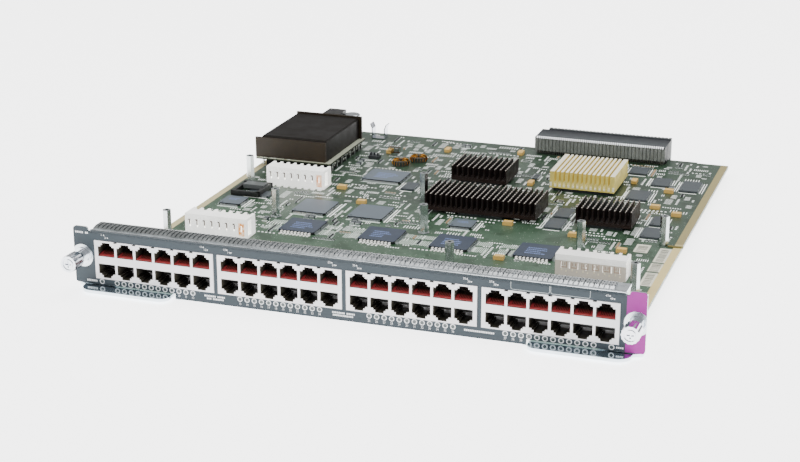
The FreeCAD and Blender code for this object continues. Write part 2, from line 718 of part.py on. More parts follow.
# --- Levers and brackets ------------------------------------------------------------
def lever_bracket():
    """Right-hand bracket: a plate under the board and an ear behind the faceplate."""
    outer = HALF - BRACKET_END
    plate = box(outer - BRACKET_WIDTH, outer, BOARD_FRONT, BRACKET_DEPTH, BRACKET_BOTTOM, BOARD_BOTTOM)
    clear = BOARD_WIDTH / 2 + EAR_GAP
    trim = box(clear, outer + 1, PIVOT_BACK + RIVET_HEAD_RADIUS, BRACKET_DEPTH + 1, 0, BOARD_TOP)
    ear_top = BRACKET_BOTTOM + BRACKET_EAR_HEIGHT
    ear = box(clear, outer, SHEET, SHEET + BRACKET_SHEET, BRACKET_BOTTOM, ear_top)
    holes = [
        cylinder(radius, V(x, y, 0), V(x, y, BOARD_TOP))
        for radius, x, y in (
            (PIVOT_RADIUS, PIVOT_X, PIVOT_BACK), (SCREW_RADIUS, bracket_screw_x(), BRACKET_SCREW_BACK)
        )
    ]
    return joined([plate.cut(trim), ear]).cut(Part.makeCompound(holes))


def ejector_lever():
    """Right-hand lever: finger plate, hub and hook in one stamped plate."""
    inner = BOTTOM_WIDTH / 2 + LEVER_INNER_GAP
    outer = HALF - LEVER_END
    hook = outer + HOOK_REACH
    hook_front = PIVOT_BACK - HOOK_SET
    hub = PIVOT_RADIUS + HUB_WALL
    corners = [
        (inner, -LEVER_REACH, LEVER_INNER_RADIUS),
        (outer, -LEVER_REACH, LEVER_OUTER_RADIUS),
        (outer, hook_front - HOOK_SLOPE, LEVER_CORNER),
        (hook, hook_front, HOOK_CORNER),
        (hook, hook_front + HOOK_WIDTH, HOOK_CORNER),
        (outer, hook_front + HOOK_WIDTH, HOOK_CORNER),
        (outer, PIVOT_BACK + HUB_OUTER, HUB_CORNER),
        (PIVOT_X, PIVOT_BACK + hub, HUB_CORNER),
        (PIVOT_X - hub, PIVOT_BACK + HUB_INNER, HUB_CORNER),
        (PIVOT_X - hub - HUB_FOOT, LEVER_BACK, LEVER_CORNER),
        (inner, LEVER_BACK, LEVER_CORNER),
    ]
    plate = rounded_plate(corners, LEVER_BOTTOM, LEVER_TOP)
    bore = cylinder(
        PIVOT_RADIUS + PIVOT_CLEARANCE,
        V(PIVOT_X, PIVOT_BACK, LEVER_BOTTOM - 1),
        V(PIVOT_X, PIVOT_BACK, LEVER_TOP + 1),
    )
    return plate.cut(bore)


def lever_rivet():
    """Rivet that the right-hand lever turns on, set in the bracket."""
    head_top = LEVER_BOTTOM - RIVET_HEAD_GAP

    def at(z):
        return V(PIVOT_X, PIVOT_BACK, z)

    return joined([
        cylinder(RIVET_HEAD_RADIUS, at(head_top - RIVET_HEAD_HEIGHT), at(head_top)),
        cylinder(PIVOT_RADIUS, at(head_top), at(BOARD_BOTTOM)),
    ])


# --- Captive screws --------------------------------------------------------------------
def on_screw(y):
    return V(SCREW_X, y, SCREW_Z)


def knob_blank():
    """Fluted knob, solid, as a prism along Y."""
    points = []
    for i in range(2 * KNOB_FLUTES):
        radius = KNOB_RADIUS - (i % 2) * KNOB_FLUTE_DEPTH
        turn = math.pi * i / KNOB_FLUTES
        points.append(
            V(SCREW_X + radius * math.cos(turn), -KNOB_FRONT, SCREW_Z + radius * math.sin(turn))
        )
    return extrude(points, V(0, KNOB_LENGTH, 0))


def captive_screw():
    """Right-hand thumb screw: fluted knob, cross recess, shank and clip groove."""
    back = -KNOB_FRONT + KNOB_LENGTH
    seat = back - KNOB_CAVITY_DEPTH
    cavity = cylinder(FERRULE_RADIUS + FERRULE_CLEARANCE, on_screw(seat), on_screw(back + 1))
    face = -KNOB_FRONT
    ring = cylinder(KNOB_RING_RADIUS, on_screw(face - 1), on_screw(face + KNOB_RING_DEPTH)).cut(
        cylinder(KNOB_RING_RADIUS - KNOB_RING_WIDTH, on_screw(face - 1), on_screw(face + 1))
    )
    cross = [
        block(SCREW_X, face, width, 2 * CROSS_DEPTH, SCREW_Z - height / 2, SCREW_Z + height / 2)
        for width, height in ((CROSS_LENGTH, CROSS_WIDTH), (CROSS_WIDTH, CROSS_LENGTH))
    ]
    knob = knob_blank().cut(Part.makeCompound([cavity, ring, joined(cross)]))
    return joined([
        knob,
        cylinder(SHANK_RADIUS, on_screw(seat), on_screw(SHEET)),
        cylinder(GROOVE_RADIUS, on_screw(SHEET), on_screw(CLIP_GROOVE_END)),
        cylinder(SHANK_RADIUS, on_screw(CLIP_GROOVE_END), on_screw(THREAD_REACH)),
    ])


def screw_ferrule():
    """Right-hand sleeve, pressed into the faceplate, that the screw slides in."""
    outside = joined([
        cylinder(FERRULE_RADIUS, on_screw(-FERRULE_LENGTH), on_screw(0)),
        cylinder(FERRULE_FLANGE_RADIUS, on_screw(-FERRULE_FLANGE), on_screw(0)),
        cylinder(FERRULE_NOSE_RADIUS, on_screw(0), on_screw(SHEET)),
    ])
    bore = cylinder(FERRULE_BORE, on_screw(-FERRULE_LENGTH - 1), on_screw(-FERRULE_FLANGE))
    hole = cylinder(SHANK_RADIUS + SHANK_CLEARANCE, on_screw(-FERRULE_LENGTH), on_screw(SHEET + 1))
    return outside.cut(bore).cut(hole)


def screw_clip():
    """Split ring in the screw's groove, behind the faceplate."""
    start = SHEET + CLIP_GAP
    inner = GROOVE_RADIUS + CLIP_GAP
    ring = cylinder(CLIP_RADIUS, on_screw(start), on_screw(start + CLIP_THICKNESS))
    hole = cylinder(inner, on_screw(start - 1), on_screw(start + CLIP_THICKNESS + 1))
    split = box(
        SCREW_X - inner / 2, SCREW_X + inner / 2, 0, THREAD_REACH, SCREW_Z - CLIP_RADIUS - 1, SCREW_Z
    )
    return ring.cut(Part.makeCompound([hole, split]))


def screw_spring():
    """Coil between the ferrule's floor and the knob, eight straight lengths a turn."""
    start = -FERRULE_FLANGE - CLIP_GAP - SPRING_WIRE / 2
    end = -KNOB_FRONT + KNOB_LENGTH - KNOB_CAVITY_DEPTH + CLIP_GAP + SPRING_WIRE / 2
    steps = 8 * SPRING_TURNS
    half = SPRING_WIRE / 2
    sections = []
    for i in range(steps + 1):
        turn = math.radians(45 * i)
        y = start + (end - start) * i / steps
        corners = []
        for dr, dy in ((-half, -half), (half, -half), (half, half), (-half, half)):
            radius = SPRING_RADIUS + dr
            corners.append(
                V(SCREW_X + radius * math.cos(turn), y + dy, SCREW_Z + radius * math.sin(turn))
            )
        sections.append(Part.makePolygon(corners + corners[:1]))
    return Part.makeLoft(sections, True, True)


# --- Parts on the board ------------------------------------------------------------------
def power_header(x, y):
    """White power header with rear channels, front slots and an open right end."""
    low = BOARD_TOP + HEADER_FOOT
    top = BOARD_TOP + HEADER_HEIGHT
    front = y - HEADER_DEPTH / 2
    rear = y + HEADER_DEPTH / 2
    right = x + HEADER_WIDTH / 2
    ways = header_ways(x)
    pitch = ways[1] - ways[0]
    body = block(x, y, HEADER_WIDTH, HEADER_DEPTH, low, top)
    feet = [block(w, y, pitch / 2, HEADER_DEPTH, BOARD_TOP, low) for w in ways]
    cuts = []
    middle = (low + top) / 2
    for way in ways:
        cuts.append(
            block(way, rear, HEADER_CHANNEL_WIDTH, 2 * HEADER_CHANNEL_DEPTH, BOARD_TOP - 1, top + 1)
        )
        cuts.append(
            block(
                way, front, HEADER_SLOT_WIDTH, 2 * HEADER_SLOT_DEPTH,
                middle - HEADER_SLOT_HEIGHT / 2, middle + HEADER_SLOT_HEIGHT / 2,
            )
        )
    end_low = middle - HEADER_END_HEIGHT / 2
    end_front = front + HEADER_END_WALL
    end_rear = rear - HEADER_CHANNEL_DEPTH - HEADER_END_WALL
    end_high = end_low + HEADER_END_HEIGHT
    cuts.append(box(right - HEADER_END_WALL, right + 1, end_front, end_rear, end_low, end_high))
    return joined([body] + feet).cut(Part.makeCompound(cuts))


def header_ways(x):
    """Places of a header's contacts along it."""
    return spaced(HEADER_WAY_COUNT, (HEADER_WIDTH - HEADER_END_WALL) / HEADER_WAY_COUNT, x)


def header_blades():
    """Contacts in the headers' rear channels."""
    blades = []
    for _, x, y in HEADERS:
        back_wall = y + HEADER_DEPTH / 2 - HEADER_CHANNEL_DEPTH
        for way in header_ways(x):
            blades.append(
                block(
                    way, back_wall + BLADE_DEPTH / 2, BLADE_THICKNESS, BLADE_DEPTH,
                    BOARD_TOP, BOARD_TOP + BLADE_HEIGHT,
                )
            )
    return Part.makeCompound(blades)


def power_module():
    """Raised converter: board on pins, cover and two end plates."""
    board_low = BOARD_TOP + MODULE_LIFT
    board_high = board_low + MODULE_BOARD_THICKNESS
    board = block(MODULE_X, MODULE_Y, MODULE_BOARD_WIDTH, MODULE_BOARD_LENGTH, board_low, board_high)
    top = board_high + COVER_HEIGHT
    cover = block(MODULE_X, MODULE_Y, COVER_WIDTH, COVER_LENGTH, board_high, top)
    along = [e for e in cover.Edges if e.BoundBox.ZMin > top - 0.01]
    cover = cover.makeChamfer(COVER_EDGE, along)
    left = MODULE_X - COVER_WIDTH / 2
    right = MODULE_X + COVER_WIDTH / 2
    front = MODULE_Y - COVER_LENGTH / 2
    rear = MODULE_Y + COVER_LENGTH / 2
    front_end = box(
        left - PLATE_OVERHANG, right, front - END_PLATE, front, board_high, top - FRONT_PLATE_DROP
    )
    rear_end = box(
        left, right + PLATE_OVERHANG / 2, rear, rear + END_PLATE, board_high, top + REAR_PLATE_RISE
    )
    pins = []
    for side in (-1, 1):
        x = MODULE_X + side * (MODULE_BOARD_WIDTH / 2 - MODULE_PIN_INSET)
        for y in spaced(MODULE_PIN_COUNT, MODULE_BOARD_LENGTH / (MODULE_PIN_COUNT + 1), MODULE_Y):
            pins.append(block(x, y, MODULE_PIN, MODULE_PIN, BOARD_TOP, board_low))
    return {
        "module_board": board,
        "module_cover": cover,
        "module_end_plates": Part.makeCompound([front_end, rear_end]),
        "module_pins": Part.makeCompound(pins),
    }


def bulk_capacitor():
    """Aluminium can with a rolled bead near its foot and a rounded top edge."""
    radius = CAPACITOR_RADIUS
    top = BOARD_TOP + CAPACITOR_HEIGHT
    bead = BOARD_TOP + CAPACITOR_BEAD_HEIGHT
    profile = [
        (0, BOARD_TOP), (radius, BOARD_TOP), (radius, bead - CAPACITOR_BEAD_RUN),
        (radius - CAPACITOR_BEAD, bead), (radius, bead + CAPACITOR_BEAD_RUN),
        (radius, top - CAPACITOR_EDGE), (radius - CAPACITOR_EDGE, top), (0, top),
    ]
    outline = Part.makePolygon([V(r, 0, z) for r, z in profile + profile[:1]])
    can = Part.Face(outline).revolve(V(0, 0, 0), V(0, 0, 1), 360)
    can.translate(V(CAPACITOR_X, CAPACITOR_Y, 0))
    return can


def cooling_clip():
    """Folded metal clip: a foot and two upright ears."""
    half = CLIP_BRACKET_WIDTH / 2
    sheet = CLIP_BRACKET_SHEET
    knee = CLIP_EAR_HEIGHT
    top = CLIP_BRACKET_HEIGHT
    tip = half + CLIP_BRACKET_FLARE
    right = [
        (half, 0), (half, knee), (tip, top), (tip - sheet, top), (half - sheet, knee),
        (half - sheet, sheet),
    ]
    outline = right + [(-x, z) for x, z in reversed(right)]
    middle, y = CLIP_BRACKET
    front = y - CLIP_BRACKET_DEPTH / 2
    points = [V(middle + x, front, BOARD_TOP + z) for x, z in outline]
    return extrude(points, V(0, CLIP_BRACKET_DEPTH, 0))


def heat_sink(x, y, width, depth, height, pitch, fin, end_fin):
    """Extruded comb of upright fins on a flat base."""
    low = BOARD_TOP + SINK_CHIP_HEIGHT
    floor = low + SINK_BASE
    top = BOARD_TOP + height
    left = x - width / 2
    right = x + width / 2
    run = width - 2 * end_fin + fin
    gaps = round(run / pitch)
    gap = run / gaps - fin
    outline = [(left, low), (left, top), (left + end_fin, top), (left + end_fin, floor)]
    start = left + end_fin + gap
    for _ in range(gaps - 1):
        outline += [(start, floor), (start, top), (start + fin, top), (start + fin, floor)]
        start += fin + gap
    outline += [(right - end_fin, floor), (right - end_fin, top), (right, top), (right, low)]
    points = [V(u, y - depth / 2, z) for u, z in outline]
    return extrude(points, V(0, depth, 0))


def sink_chips():
    """Packages under the heat sinks."""
    return Part.makeCompound([
        block(
            x, y, min(width, depth) - SINK_CHIP_MARGIN, min(width, depth) - SINK_CHIP_MARGIN,
            BOARD_TOP, BOARD_TOP + SINK_CHIP_HEIGHT,
        )
        for _, x, y, width, depth, *_ in HEAT_SINKS
    ])


def quad_packs():
    """Square packages with chamfered corners, and the trimmed lead frames they sit on."""
    bodies = []
    frames = []
    low = BOARD_TOP + CHIP_LIFT
    for x, y, width, depth in QUAD_PACKS:
        cut = CHIP_CORNER
        u, v = width / 2, depth / 2
        corners = [
            (u - cut, -v), (u, cut - v), (u, v - cut), (u - cut, v),
            (cut - u, v), (-u, v - cut), (-u, cut - v), (cut - u, -v),
        ]
        points = [V(x + a, y + b, low) for a, b in corners]
        bodies.append(extrude(points, V(0, 0, CHIP_THICKNESS)))
        frames.append(
            block(x, y, width + 2 * LEAD_REACH, depth + 2 * LEAD_REACH, BOARD_TOP, low)
        )
    return Part.makeCompound(bodies), Part.makeCompound(frames)


def low_packs():
    return Part.makeCompound([
        block(x, y, width, depth, BOARD_TOP, BOARD_TOP + LOW_PACK_THICKNESS)
        for x, y, width, depth in LOW_PACKS
    ])


def tantalum(x, y, turned):
    """Moulded chip capacitor with a bevelled marked end."""
    half = TANTALUM_LENGTH / 2
    top = TANTALUM_HEIGHT
    outline = [(-half, 0), (half, 0), (half, top), (TANTALUM_FOOT - half, top), (-half, top - TANTALUM_FOOT)]
    points = [V(u, -TANTALUM_WIDTH / 2, z) for u, z in outline]
    body = extrude(points, V(0, TANTALUM_WIDTH, 0))
    body.rotate(V(0, 0, 0), V(0, 0, 1), 90 * turned)
    body.translate(V(x, y, BOARD_TOP))
    return body


def toroid(x, y):
    """Flat ring core lying on the board."""
    foot = V(x, y, BOARD_TOP)
    top = V(x, y, BOARD_TOP + TOROID_HEIGHT)
    return cylinder(TOROID_RADIUS, foot, top).cut(cylinder(TOROID_BORE, foot, top))


def jumper_block():
    """Small black strip with upright posts."""
    x, y = JUMPER
    half_up = BOARD_TOP + JUMPER_HEIGHT / 2
    strip = block(x, y, JUMPER_WIDTH, JUMPER_DEPTH, BOARD_TOP, half_up)
    posts = [
        block(post, y, JUMPER_POST, JUMPER_POST, half_up, BOARD_TOP + JUMPER_HEIGHT)
        for post in spaced(JUMPER_WAY_COUNT, JUMPER_WIDTH / JUMPER_WAY_COUNT, x)
    ]
    return joined([strip] + posts)


def choke():
    return block(CHOKE_X, CHOKE_Y, CHOKE_WIDTH, CHOKE_DEPTH, BOARD_TOP, BOARD_TOP + CHOKE_HEIGHT)


def backplane_connector():
    """Stack of wafers at the board's rear edge, and the toothed shroud behind it."""
    left = CONNECTOR_X - CONNECTOR_WIDTH / 2
    right = CONNECTOR_X + CONNECTOR_WIDTH / 2
    top = BOARD_TOP + CONNECTOR_HEIGHT
    rear = CONNECTOR_FRONT + CONNECTOR_DEPTH
    wafers = box(left, right, CONNECTOR_FRONT, rear, BOARD_TOP, top)
    bay = box(
        left - 1, right + 1, CONNECTOR_FRONT - 1, CONNECTOR_FRONT + CONNECTOR_BAY_DEPTH,
        BOARD_TOP - 1, BOARD_TOP + CONNECTOR_FOOT,
    )
    grooves = [
        block(x, CONNECTOR_FRONT, WAFER_GROOVE, 2 * WAFER_GROOVE_DEPTH, BOARD_TOP, top - 1)
        for x in spaced(WAFER_COUNT - 1, CONNECTOR_WIDTH / WAFER_COUNT, CONNECTOR_X)
    ]
    wafers = wafers.cut(bay).cut(Part.makeCompound(grooves))
    shroud_left = left + SHROUD_INSET
    shroud_rear = rear + SHROUD_DEPTH
    shroud_top = top + SHROUD_RISE
    shroud_low = BOARD_TOP - SHROUD_DROP
    shroud = box(shroud_left, right, rear, shroud_rear, shroud_low, shroud_top)
    cavity = box(
        shroud_left + SHROUD_WALL, right - SHROUD_WALL, shroud_rear - SHROUD_CAVITY, shroud_rear + 1,
        shroud_low + SHROUD_WALL, shroud_top - 2 * SHROUD_WALL,
    )
    width = right - shroud_left
    middle = (right + shroud_left) / 2
    tooth_low = shroud_top - SHROUD_WALL
    teeth = [
        block(x, shroud_rear, SHROUD_TOOTH_GAP, 2 * SHROUD_TOOTH_DEPTH, tooth_low, shroud_top + 1)
        for x in spaced(SHROUD_TOOTH_COUNT - 1, width / SHROUD_TOOTH_COUNT, middle)
    ]
    return wafers, shroud.cut(cavity).cut(Part.makeCompound(teeth))


# --- The card ---------------------------------------------------------------------------
def build():
    """Every piece of the card by its name."""
    nodes = {"faceplate": faceplate()}
    nodes["front_film"], nodes["end_film"] = films()
    nodes["gasket_top"] = gasket()
    nodes["light_guides"] = light_guides()
    nodes["circuit_board"] = circuit_board()
    for i, x in enumerate(group_centres(), 1):
        nodes[f"jack_housing_{i}"] = jack_housing(x)
        nodes[f"contact_carriers_{i}"] = contact_carriers(x)
    nodes["standoffs"], nodes["standoff_collars"] = standoffs()
    nodes["bracket_screws"] = bracket_screws()
    paired = {
        "lever_bracket": lever_bracket(),
        "ejector_lever": ejector_lever(),
        "lever_rivet": lever_rivet(),
        "captive_screw": captive_screw(),
        "screw_ferrule": screw_ferrule(),
        "screw_clip": screw_clip(),
        "screw_spring": screw_spring(),
    }
    for name, shape in paired.items():
        nodes[name + "_right"] = shape
        nodes[name + "_left"] = mirrored(shape)
    for name, x, y in HEADERS:
        nodes[name] = power_header(x, y)
    nodes["header_blades"] = header_blades()
    nodes.update(power_module())
    nodes["choke"] = choke()
    nodes["bulk_capacitor"] = bulk_capacitor()
    nodes["cooling_clip"] = cooling_clip()
    for name, *sizes in HEAT_SINKS:
        nodes[name] = heat_sink(*sizes)
    nodes["sink_chips"] = sink_chips()
    nodes["quad_packs"], nodes["lead_frames"] = quad_packs()
    nodes["low_packs"] = low_packs()
    nodes["tantalum_capacitors"] = Part.makeCompound([tantalum(*place) for place in TANTALUMS])
    nodes["toroids"] = Part.makeCompound([toroid(x, y) for x, y in TOROIDS])
    nodes["jumper_block"] = jumper_block()
    nodes["connector_wafers"], nodes["connector_shroud"] = backplane_connector()
    return nodes


def main():
    os.makedirs("parts", exist_ok=True)
    for name, shape in build().items():
        shape.translate(V(0, -CARD_MIDDLE_Y, 0))
        shape.exportStep(f"parts/{name}.step")


main()
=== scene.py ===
"""Dresses the switch line card: finishes for its CAD nodes and the small parts, print and
solder that the solids leave out.  Shapes are modelled in millimetres from the faceplate's
front and are put in place by PLACE."""

import bmesh
import bpy
import json
import math
import random
from bpy.props import FloatProperty, FloatVectorProperty, IntProperty, PointerProperty
from mathutils import Matrix, Vector


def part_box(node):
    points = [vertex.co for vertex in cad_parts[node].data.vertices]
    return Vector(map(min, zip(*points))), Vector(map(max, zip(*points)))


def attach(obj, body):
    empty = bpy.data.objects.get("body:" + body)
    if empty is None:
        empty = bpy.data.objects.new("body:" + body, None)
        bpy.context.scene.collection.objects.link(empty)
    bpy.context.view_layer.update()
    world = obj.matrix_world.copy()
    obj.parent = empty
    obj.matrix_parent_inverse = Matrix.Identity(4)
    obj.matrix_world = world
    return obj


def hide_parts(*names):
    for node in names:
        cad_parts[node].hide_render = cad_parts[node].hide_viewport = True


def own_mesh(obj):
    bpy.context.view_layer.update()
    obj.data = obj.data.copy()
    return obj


bl_info = {
    "name": "Switch line card",
    "version": (1, 0, 0),
    "blender": (4, 5, 0),
    "location": "View3D > Sidebar > Line card",
    "description": "Finishes and small parts of a switch line card",
    "category": "Object",
}

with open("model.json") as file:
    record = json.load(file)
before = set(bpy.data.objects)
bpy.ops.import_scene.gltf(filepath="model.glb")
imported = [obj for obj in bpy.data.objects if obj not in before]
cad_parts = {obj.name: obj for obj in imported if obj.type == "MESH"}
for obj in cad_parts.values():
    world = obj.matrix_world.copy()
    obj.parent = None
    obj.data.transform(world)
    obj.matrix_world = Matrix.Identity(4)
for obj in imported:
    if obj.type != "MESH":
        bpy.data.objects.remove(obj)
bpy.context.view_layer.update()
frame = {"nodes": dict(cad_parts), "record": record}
NODES = frame["nodes"]
FRONT_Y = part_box("faceplate")[0].y
FRONT_MM = FRONT_Y * 1000
PLACE = Matrix.Translation((0, FRONT_Y, 0)) @ Matrix.Scale(0.001, 4)
BACK_TO_MM = PLACE.inverted()


# --- Places read from the frame -------------------------------------------------
def where(node):
    """Lowest and highest corner of a node, in millimetres from the faceplate's front."""
    low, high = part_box(node)
    return BACK_TO_MM @ low, BACK_TO_MM @ high


def solids(node):
    """Lowest and highest corner of each separate solid of a node, left to right."""
    shape = bmesh.new()
    shape.from_mesh(NODES[node].data)
    bmesh.ops.remove_doubles(shape, verts=shape.verts, dist=1e-6)
    boxes = []
    left = set(shape.verts)
    while left:
        reach = [left.pop()]
        points = []
        while reach:
            vertex = reach.pop()
            points.append(BACK_TO_MM @ vertex.co)
            for edge in vertex.link_edges:
                other = edge.other_vert(vertex)
                if other in left:
                    left.remove(other)
                    reach.append(other)
        boxes.append(tuple(Vector(f(p[i] for p in points) for i in range(3)) for f in (min, max)))
    shape.free()
    return sorted(boxes, key=lambda b: (round(b[0].x, 2), round(b[0].y, 2)))


SIDES = ("left", "right")
GROUPS = range(1, 5)
BOARD_LOW, BOARD_HIGH = where("circuit_board")
BOARD_TOP = BOARD_HIGH.z
FILM_Y = where("front_film")[0].y
JACKS = [where(f"jack_housing_{i}") for i in GROUPS]
LIGHTS = solids("light_guides")
HEADERS = [
    where(f"power_header_{place}") for place in ("rear_left", "front_left", "front_right")
]
# Each group's columns of ports, and the bar between its upper and lower row.
PORT_COLUMNS, PORT_PITCH = 6, 13.97
PORT_BAR = 5.2
PORT_MID_Z = BOARD_TOP + 13.4
PORT_WIRES, WIRE_PITCH = 8, 1.02
WAFER_PITCH, WAFER_CONTACTS = 1.02, 60
LIGHT_COUNT, LIGHT_PITCH = 12, 5.1
# Packages that start in front of this have their own long feet.
FRONT_ROW_END = 140.0
CORE_TURNS, COIL_TURNS, COIL_PITCH = 18, 9, 1.1
COIL_PLACE = (-93.0, 348.0)
STRIP_WIDTH, STRIP_START = 5.8, 34.0
TAB_PLACE = 188.0
# How far print and pads stand proud, so that they show.
INK_LIFT = 0.04
CAMERA_PLACE = (0.36402, -1.13464, 0.40573)
CAMERA_AZIMUTH, CAMERA_ELEVATION, CAMERA_ROLL = (math.radians(a) for a in (19.22, 18.91, -0.07))

# Each sticker: its middle, its width and depth, and those of the marks on it.
STICKERS = (
    (173.3, 168.0, 8.4, 30.0, 5.4, 26.0), (173.3, 142.0, 8.4, 17.0, 6.4, 15.0),
    (173.3, 118.0, 8.4, 26.0, 5.4, 22.0), (157.0, 178.0, 10.0, 17.0, 7.0, 13.0),
)
# Rows of marks on the film: from x to x, their height on the panel, and how tall they are.
PANEL_ROWS = (
    (-193.4, -184.2, 40.1, 1.3), (-186.4, -179.0, 6.4, 1.4), (-99.2, -83.6, 5.9, 1.15),
    (-98.8, -85.2, 4.1, 1.15), (-8.6, 7.2, 5.9, 1.15), (-8.2, 5.6, 4.1, 1.15),
    (80.2, 99.6, 5.4, 1.2), (177.0, 181.6, 6.6, 1.1),
)
# Rounded frames on the film: from x to x, and the height of their middle.
FRAME_SPANS = ((109.7, 134.6), (135.0, 160.0))
FRAME_Z = 38.8
# The memory socket's rails and the package in it, corner to corner from the board's top.
MEMORY_RAILS = (
    ((-170.2, 196.2, 0.6), (-146.6, 198.6, 4.6)), ((-170.2, 196.2, 0.6), (-167.6, 224.0, 4.0)),
    ((-149.4, 196.2, 0.6), (-146.6, 224.0, 4.6)), ((-170.2, 221.4, 0.6), (-146.6, 224.0, 4.6)),
)
MEMORY_PACKAGE = ((-166.0, 211.0, 2.4), (-149.0, 220.0, 5.6))
# Kinds of small part: how often each is tried, its width and length, and the gap to the next.
SMALL_PARTS = {
    "dark": (18, 1.2, 2.4, 1.0), "tan": (6, 1.3, 2.3, 1.0), "pads": (20, 0.9, 1.7, 1.0),
    "array": (3, 3.2, 6.4, 1.0), "legs": (24, 0.5, 4.2, 1.0), "print": (22, 0.45, 5.6, 1.7),
    "outline": (2, 5.0, 8.0, 2.0), "spots": (18, 1.5, 1.5, 1.5),
}
# Plain areas of the board, which small parts keep clear of: low x and y, high x and y.
CALM_AREAS = (
    (BOARD_LOW.x, 0.0, BOARD_HIGH.x, 31.5), (-112.0, 60.0, 112.0, 121.5),
    (45.0, 160.0, 108.0, 196.0), (104.0, 121.0, 140.0, 160.0), (-172.0, 194.0, -144.0, 226.0),
    (150.0, 168.0, 180.0, 190.0), (168.0, 100.0, 180.0, 190.0),
)


# --- Finishes ---------------------------------------------------------------------
class Term:
    """An output socket of a finish; sums on it add Math nodes."""

    def __init__(self, finish, socket):
        self.finish = finish
        self.socket = socket

    def maths(self, operation, *terms):
        return self.finish.add("ShaderNodeMath", {"operation": operation}, dict(enumerate(terms)))

    def __add__(self, other):
        return self.maths("ADD", self, other)

    def __sub__(self, other):
        return self.maths("SUBTRACT", self, other)

    def __rsub__(self, other):
        return self.maths("SUBTRACT", other, self)

    def __mul__(self, other):
        return self.maths("MULTIPLY", self, other)

    def __mod__(self, other):
        return self.maths("FLOORED_MODULO", self, other)

    def __gt__(self, other):
        return self.maths("GREATER_THAN", self, other)

    def __lt__(self, other):
        return self.maths("LESS_THAN", self, other)

    def __abs__(self):
        return self.maths("ABSOLUTE", self)

    __radd__ = __add__
    __rmul__ = __mul__


class Finish:
    """A procedural material: one Principled shader and the nodes that feed it."""

    def __init__(self, name, colour, roughness=0.5, metallic=0.0, **sockets):
        self.material = bpy.data.materials.new(name)
        self.material.use_nodes = True
        self.tree = self.material.node_tree
        self.tree.nodes.clear()
        output = self.tree.nodes.new("ShaderNodeOutputMaterial")
        self.shader = self.tree.nodes.new("ShaderNodeBsdfPrincipled")
        self.tree.links.new(self.shader.outputs[0], output.inputs[0])
        self.colour = colour
        self.set("Base Color", colour)
        self.set("Roughness", roughness)
        self.set("Metallic", metallic)
        for socket, value in sockets.items():
            self.set(socket.replace("_", " ").title().replace("Ior", "IOR"), value)
        self.place = None
        self.tint = colour

    def put(self, node, socket, value):
        if isinstance(value, Term):
            self.tree.links.new(value.socket, node.inputs[socket])
        else:
            node.inputs[socket].default_value = value

    def set(self, socket, value):
        """A number, a colour or a term on one of the shader's sockets."""
        self.put(self.shader, socket, opaque(value))

    def add(self, kind, settings=None, sockets=None, output=0):
        """Any node: its settings first, then the values or terms of its sockets."""
        node = self.tree.nodes.new(kind)
        for name, value in (settings or {}).items():
            setattr(node, name, value)
        for socket, value in (sockets or {}).items():
            self.put(node, socket, value)
        return Term(self, node.outputs[output])

    def mapped(self, scale=(1, 1, 1), location=(0, 0, 0)):
        """The piece's own coordinates in millimetres, stretched and shifted."""
        if self.place is None:
            self.place = self.add("ShaderNodeTexCoord", output=3)
        scale = tuple(1000 * s for s in scale)
        return self.add(
            "ShaderNodeMapping", {}, {"Vector": self.place, "Scale": scale, "Location": location}
        )

    def axis(self, which):
        return self.add("ShaderNodeSeparateXYZ", {}, {0: self.mapped()}, output=which)

    def axes(self):
        return [self.axis(i) for i in range(3)]

    def noise(self, size, detail=2.0, stretch=(1, 1, 1)):
        """Soft noise whose blots are about so many millimetres across."""
        scale = tuple(s / size for s in stretch)
        return self.add(
            "ShaderNodeTexNoise", {}, {"Vector": self.mapped(scale), "Scale": 1.0, "Detail": detail}
        )

    def mix(self, factor, first, second):
        """Colours, by a factor."""
        return self.add(
            "ShaderNodeMix", {"data_type": "RGBA"}, {0: factor, 6: opaque(first), 7: opaque(second)},
            output=2,
        )

    def range(self, value, low, high, to_low=0.0, to_high=1.0):
        return self.add(
            "ShaderNodeMapRange", {}, {0: value, 1: low, 2: high, 3: to_low, 4: to_high}
        )

    def bump(self, height, distance):
        """Relief in millimetres."""
        relief = self.add("ShaderNodeBump", {}, {"Height": height, "Distance": distance / 1000})
        self.set("Normal", relief)
        return self

    def glow(self, colour, strength):
        self.set("Emission Color", colour)
        self.set("Emission Strength", strength)
        return self

    def varied(self, size, shade=0.12, rough=0.08):
        """Slight unevenness of colour and gloss."""
        cloud = self.noise(size, 3.0)
        darker = tuple(c * (1 - shade) for c in self.colour[:3])
        lighter = tuple(min(1.0, c * (1 + shade)) for c in self.colour[:3])
        self.tint = self.mix(self.range(cloud, 0.3, 0.7), darker, lighter)
        self.set("Base Color", self.tint)
        roughness = self.shader.inputs["Roughness"].default_value
        self.set("Roughness", self.range(cloud, 0.3, 0.7, max(0.02, roughness - rough), roughness + rough))
        return self


def opaque(value):
    """A colour with its alpha, and anything else as it is."""
    return (*value, 1.0) if isinstance(value, tuple) and len(value) == 3 else value


def srgb(red, green, row_tone_and_sheen):
    """Display values out of 255 as a linear colour."""
    return tuple(
        c / 12.92 if c <= 0.04045 else ((c + 0.055) / 1.055) ** 2.4
        for c in (red / 255, green / 255, row_tone_and_sheen / 255)
    )


def named(stem, ends):
    """Names of like nodes."""
    return [f"{stem}_{end}" for end in ends]


def paint(finish, *nodes):
    """Gives CAD nodes a finish."""
    for node in nodes:
        for place in NODES[node].material_slots:
            place.material = finish.material


WIRE_STEEL = srgb(170, 172, 176)


def plastic(name, colour, roughness=0.45):
    """Moulded plastic with a fine grain."""
    finish = Finish(name, colour, roughness).varied(14.0, 0.05, 0.06)
    return finish.bump(finish.noise(0.35, 2.0), 0.01)


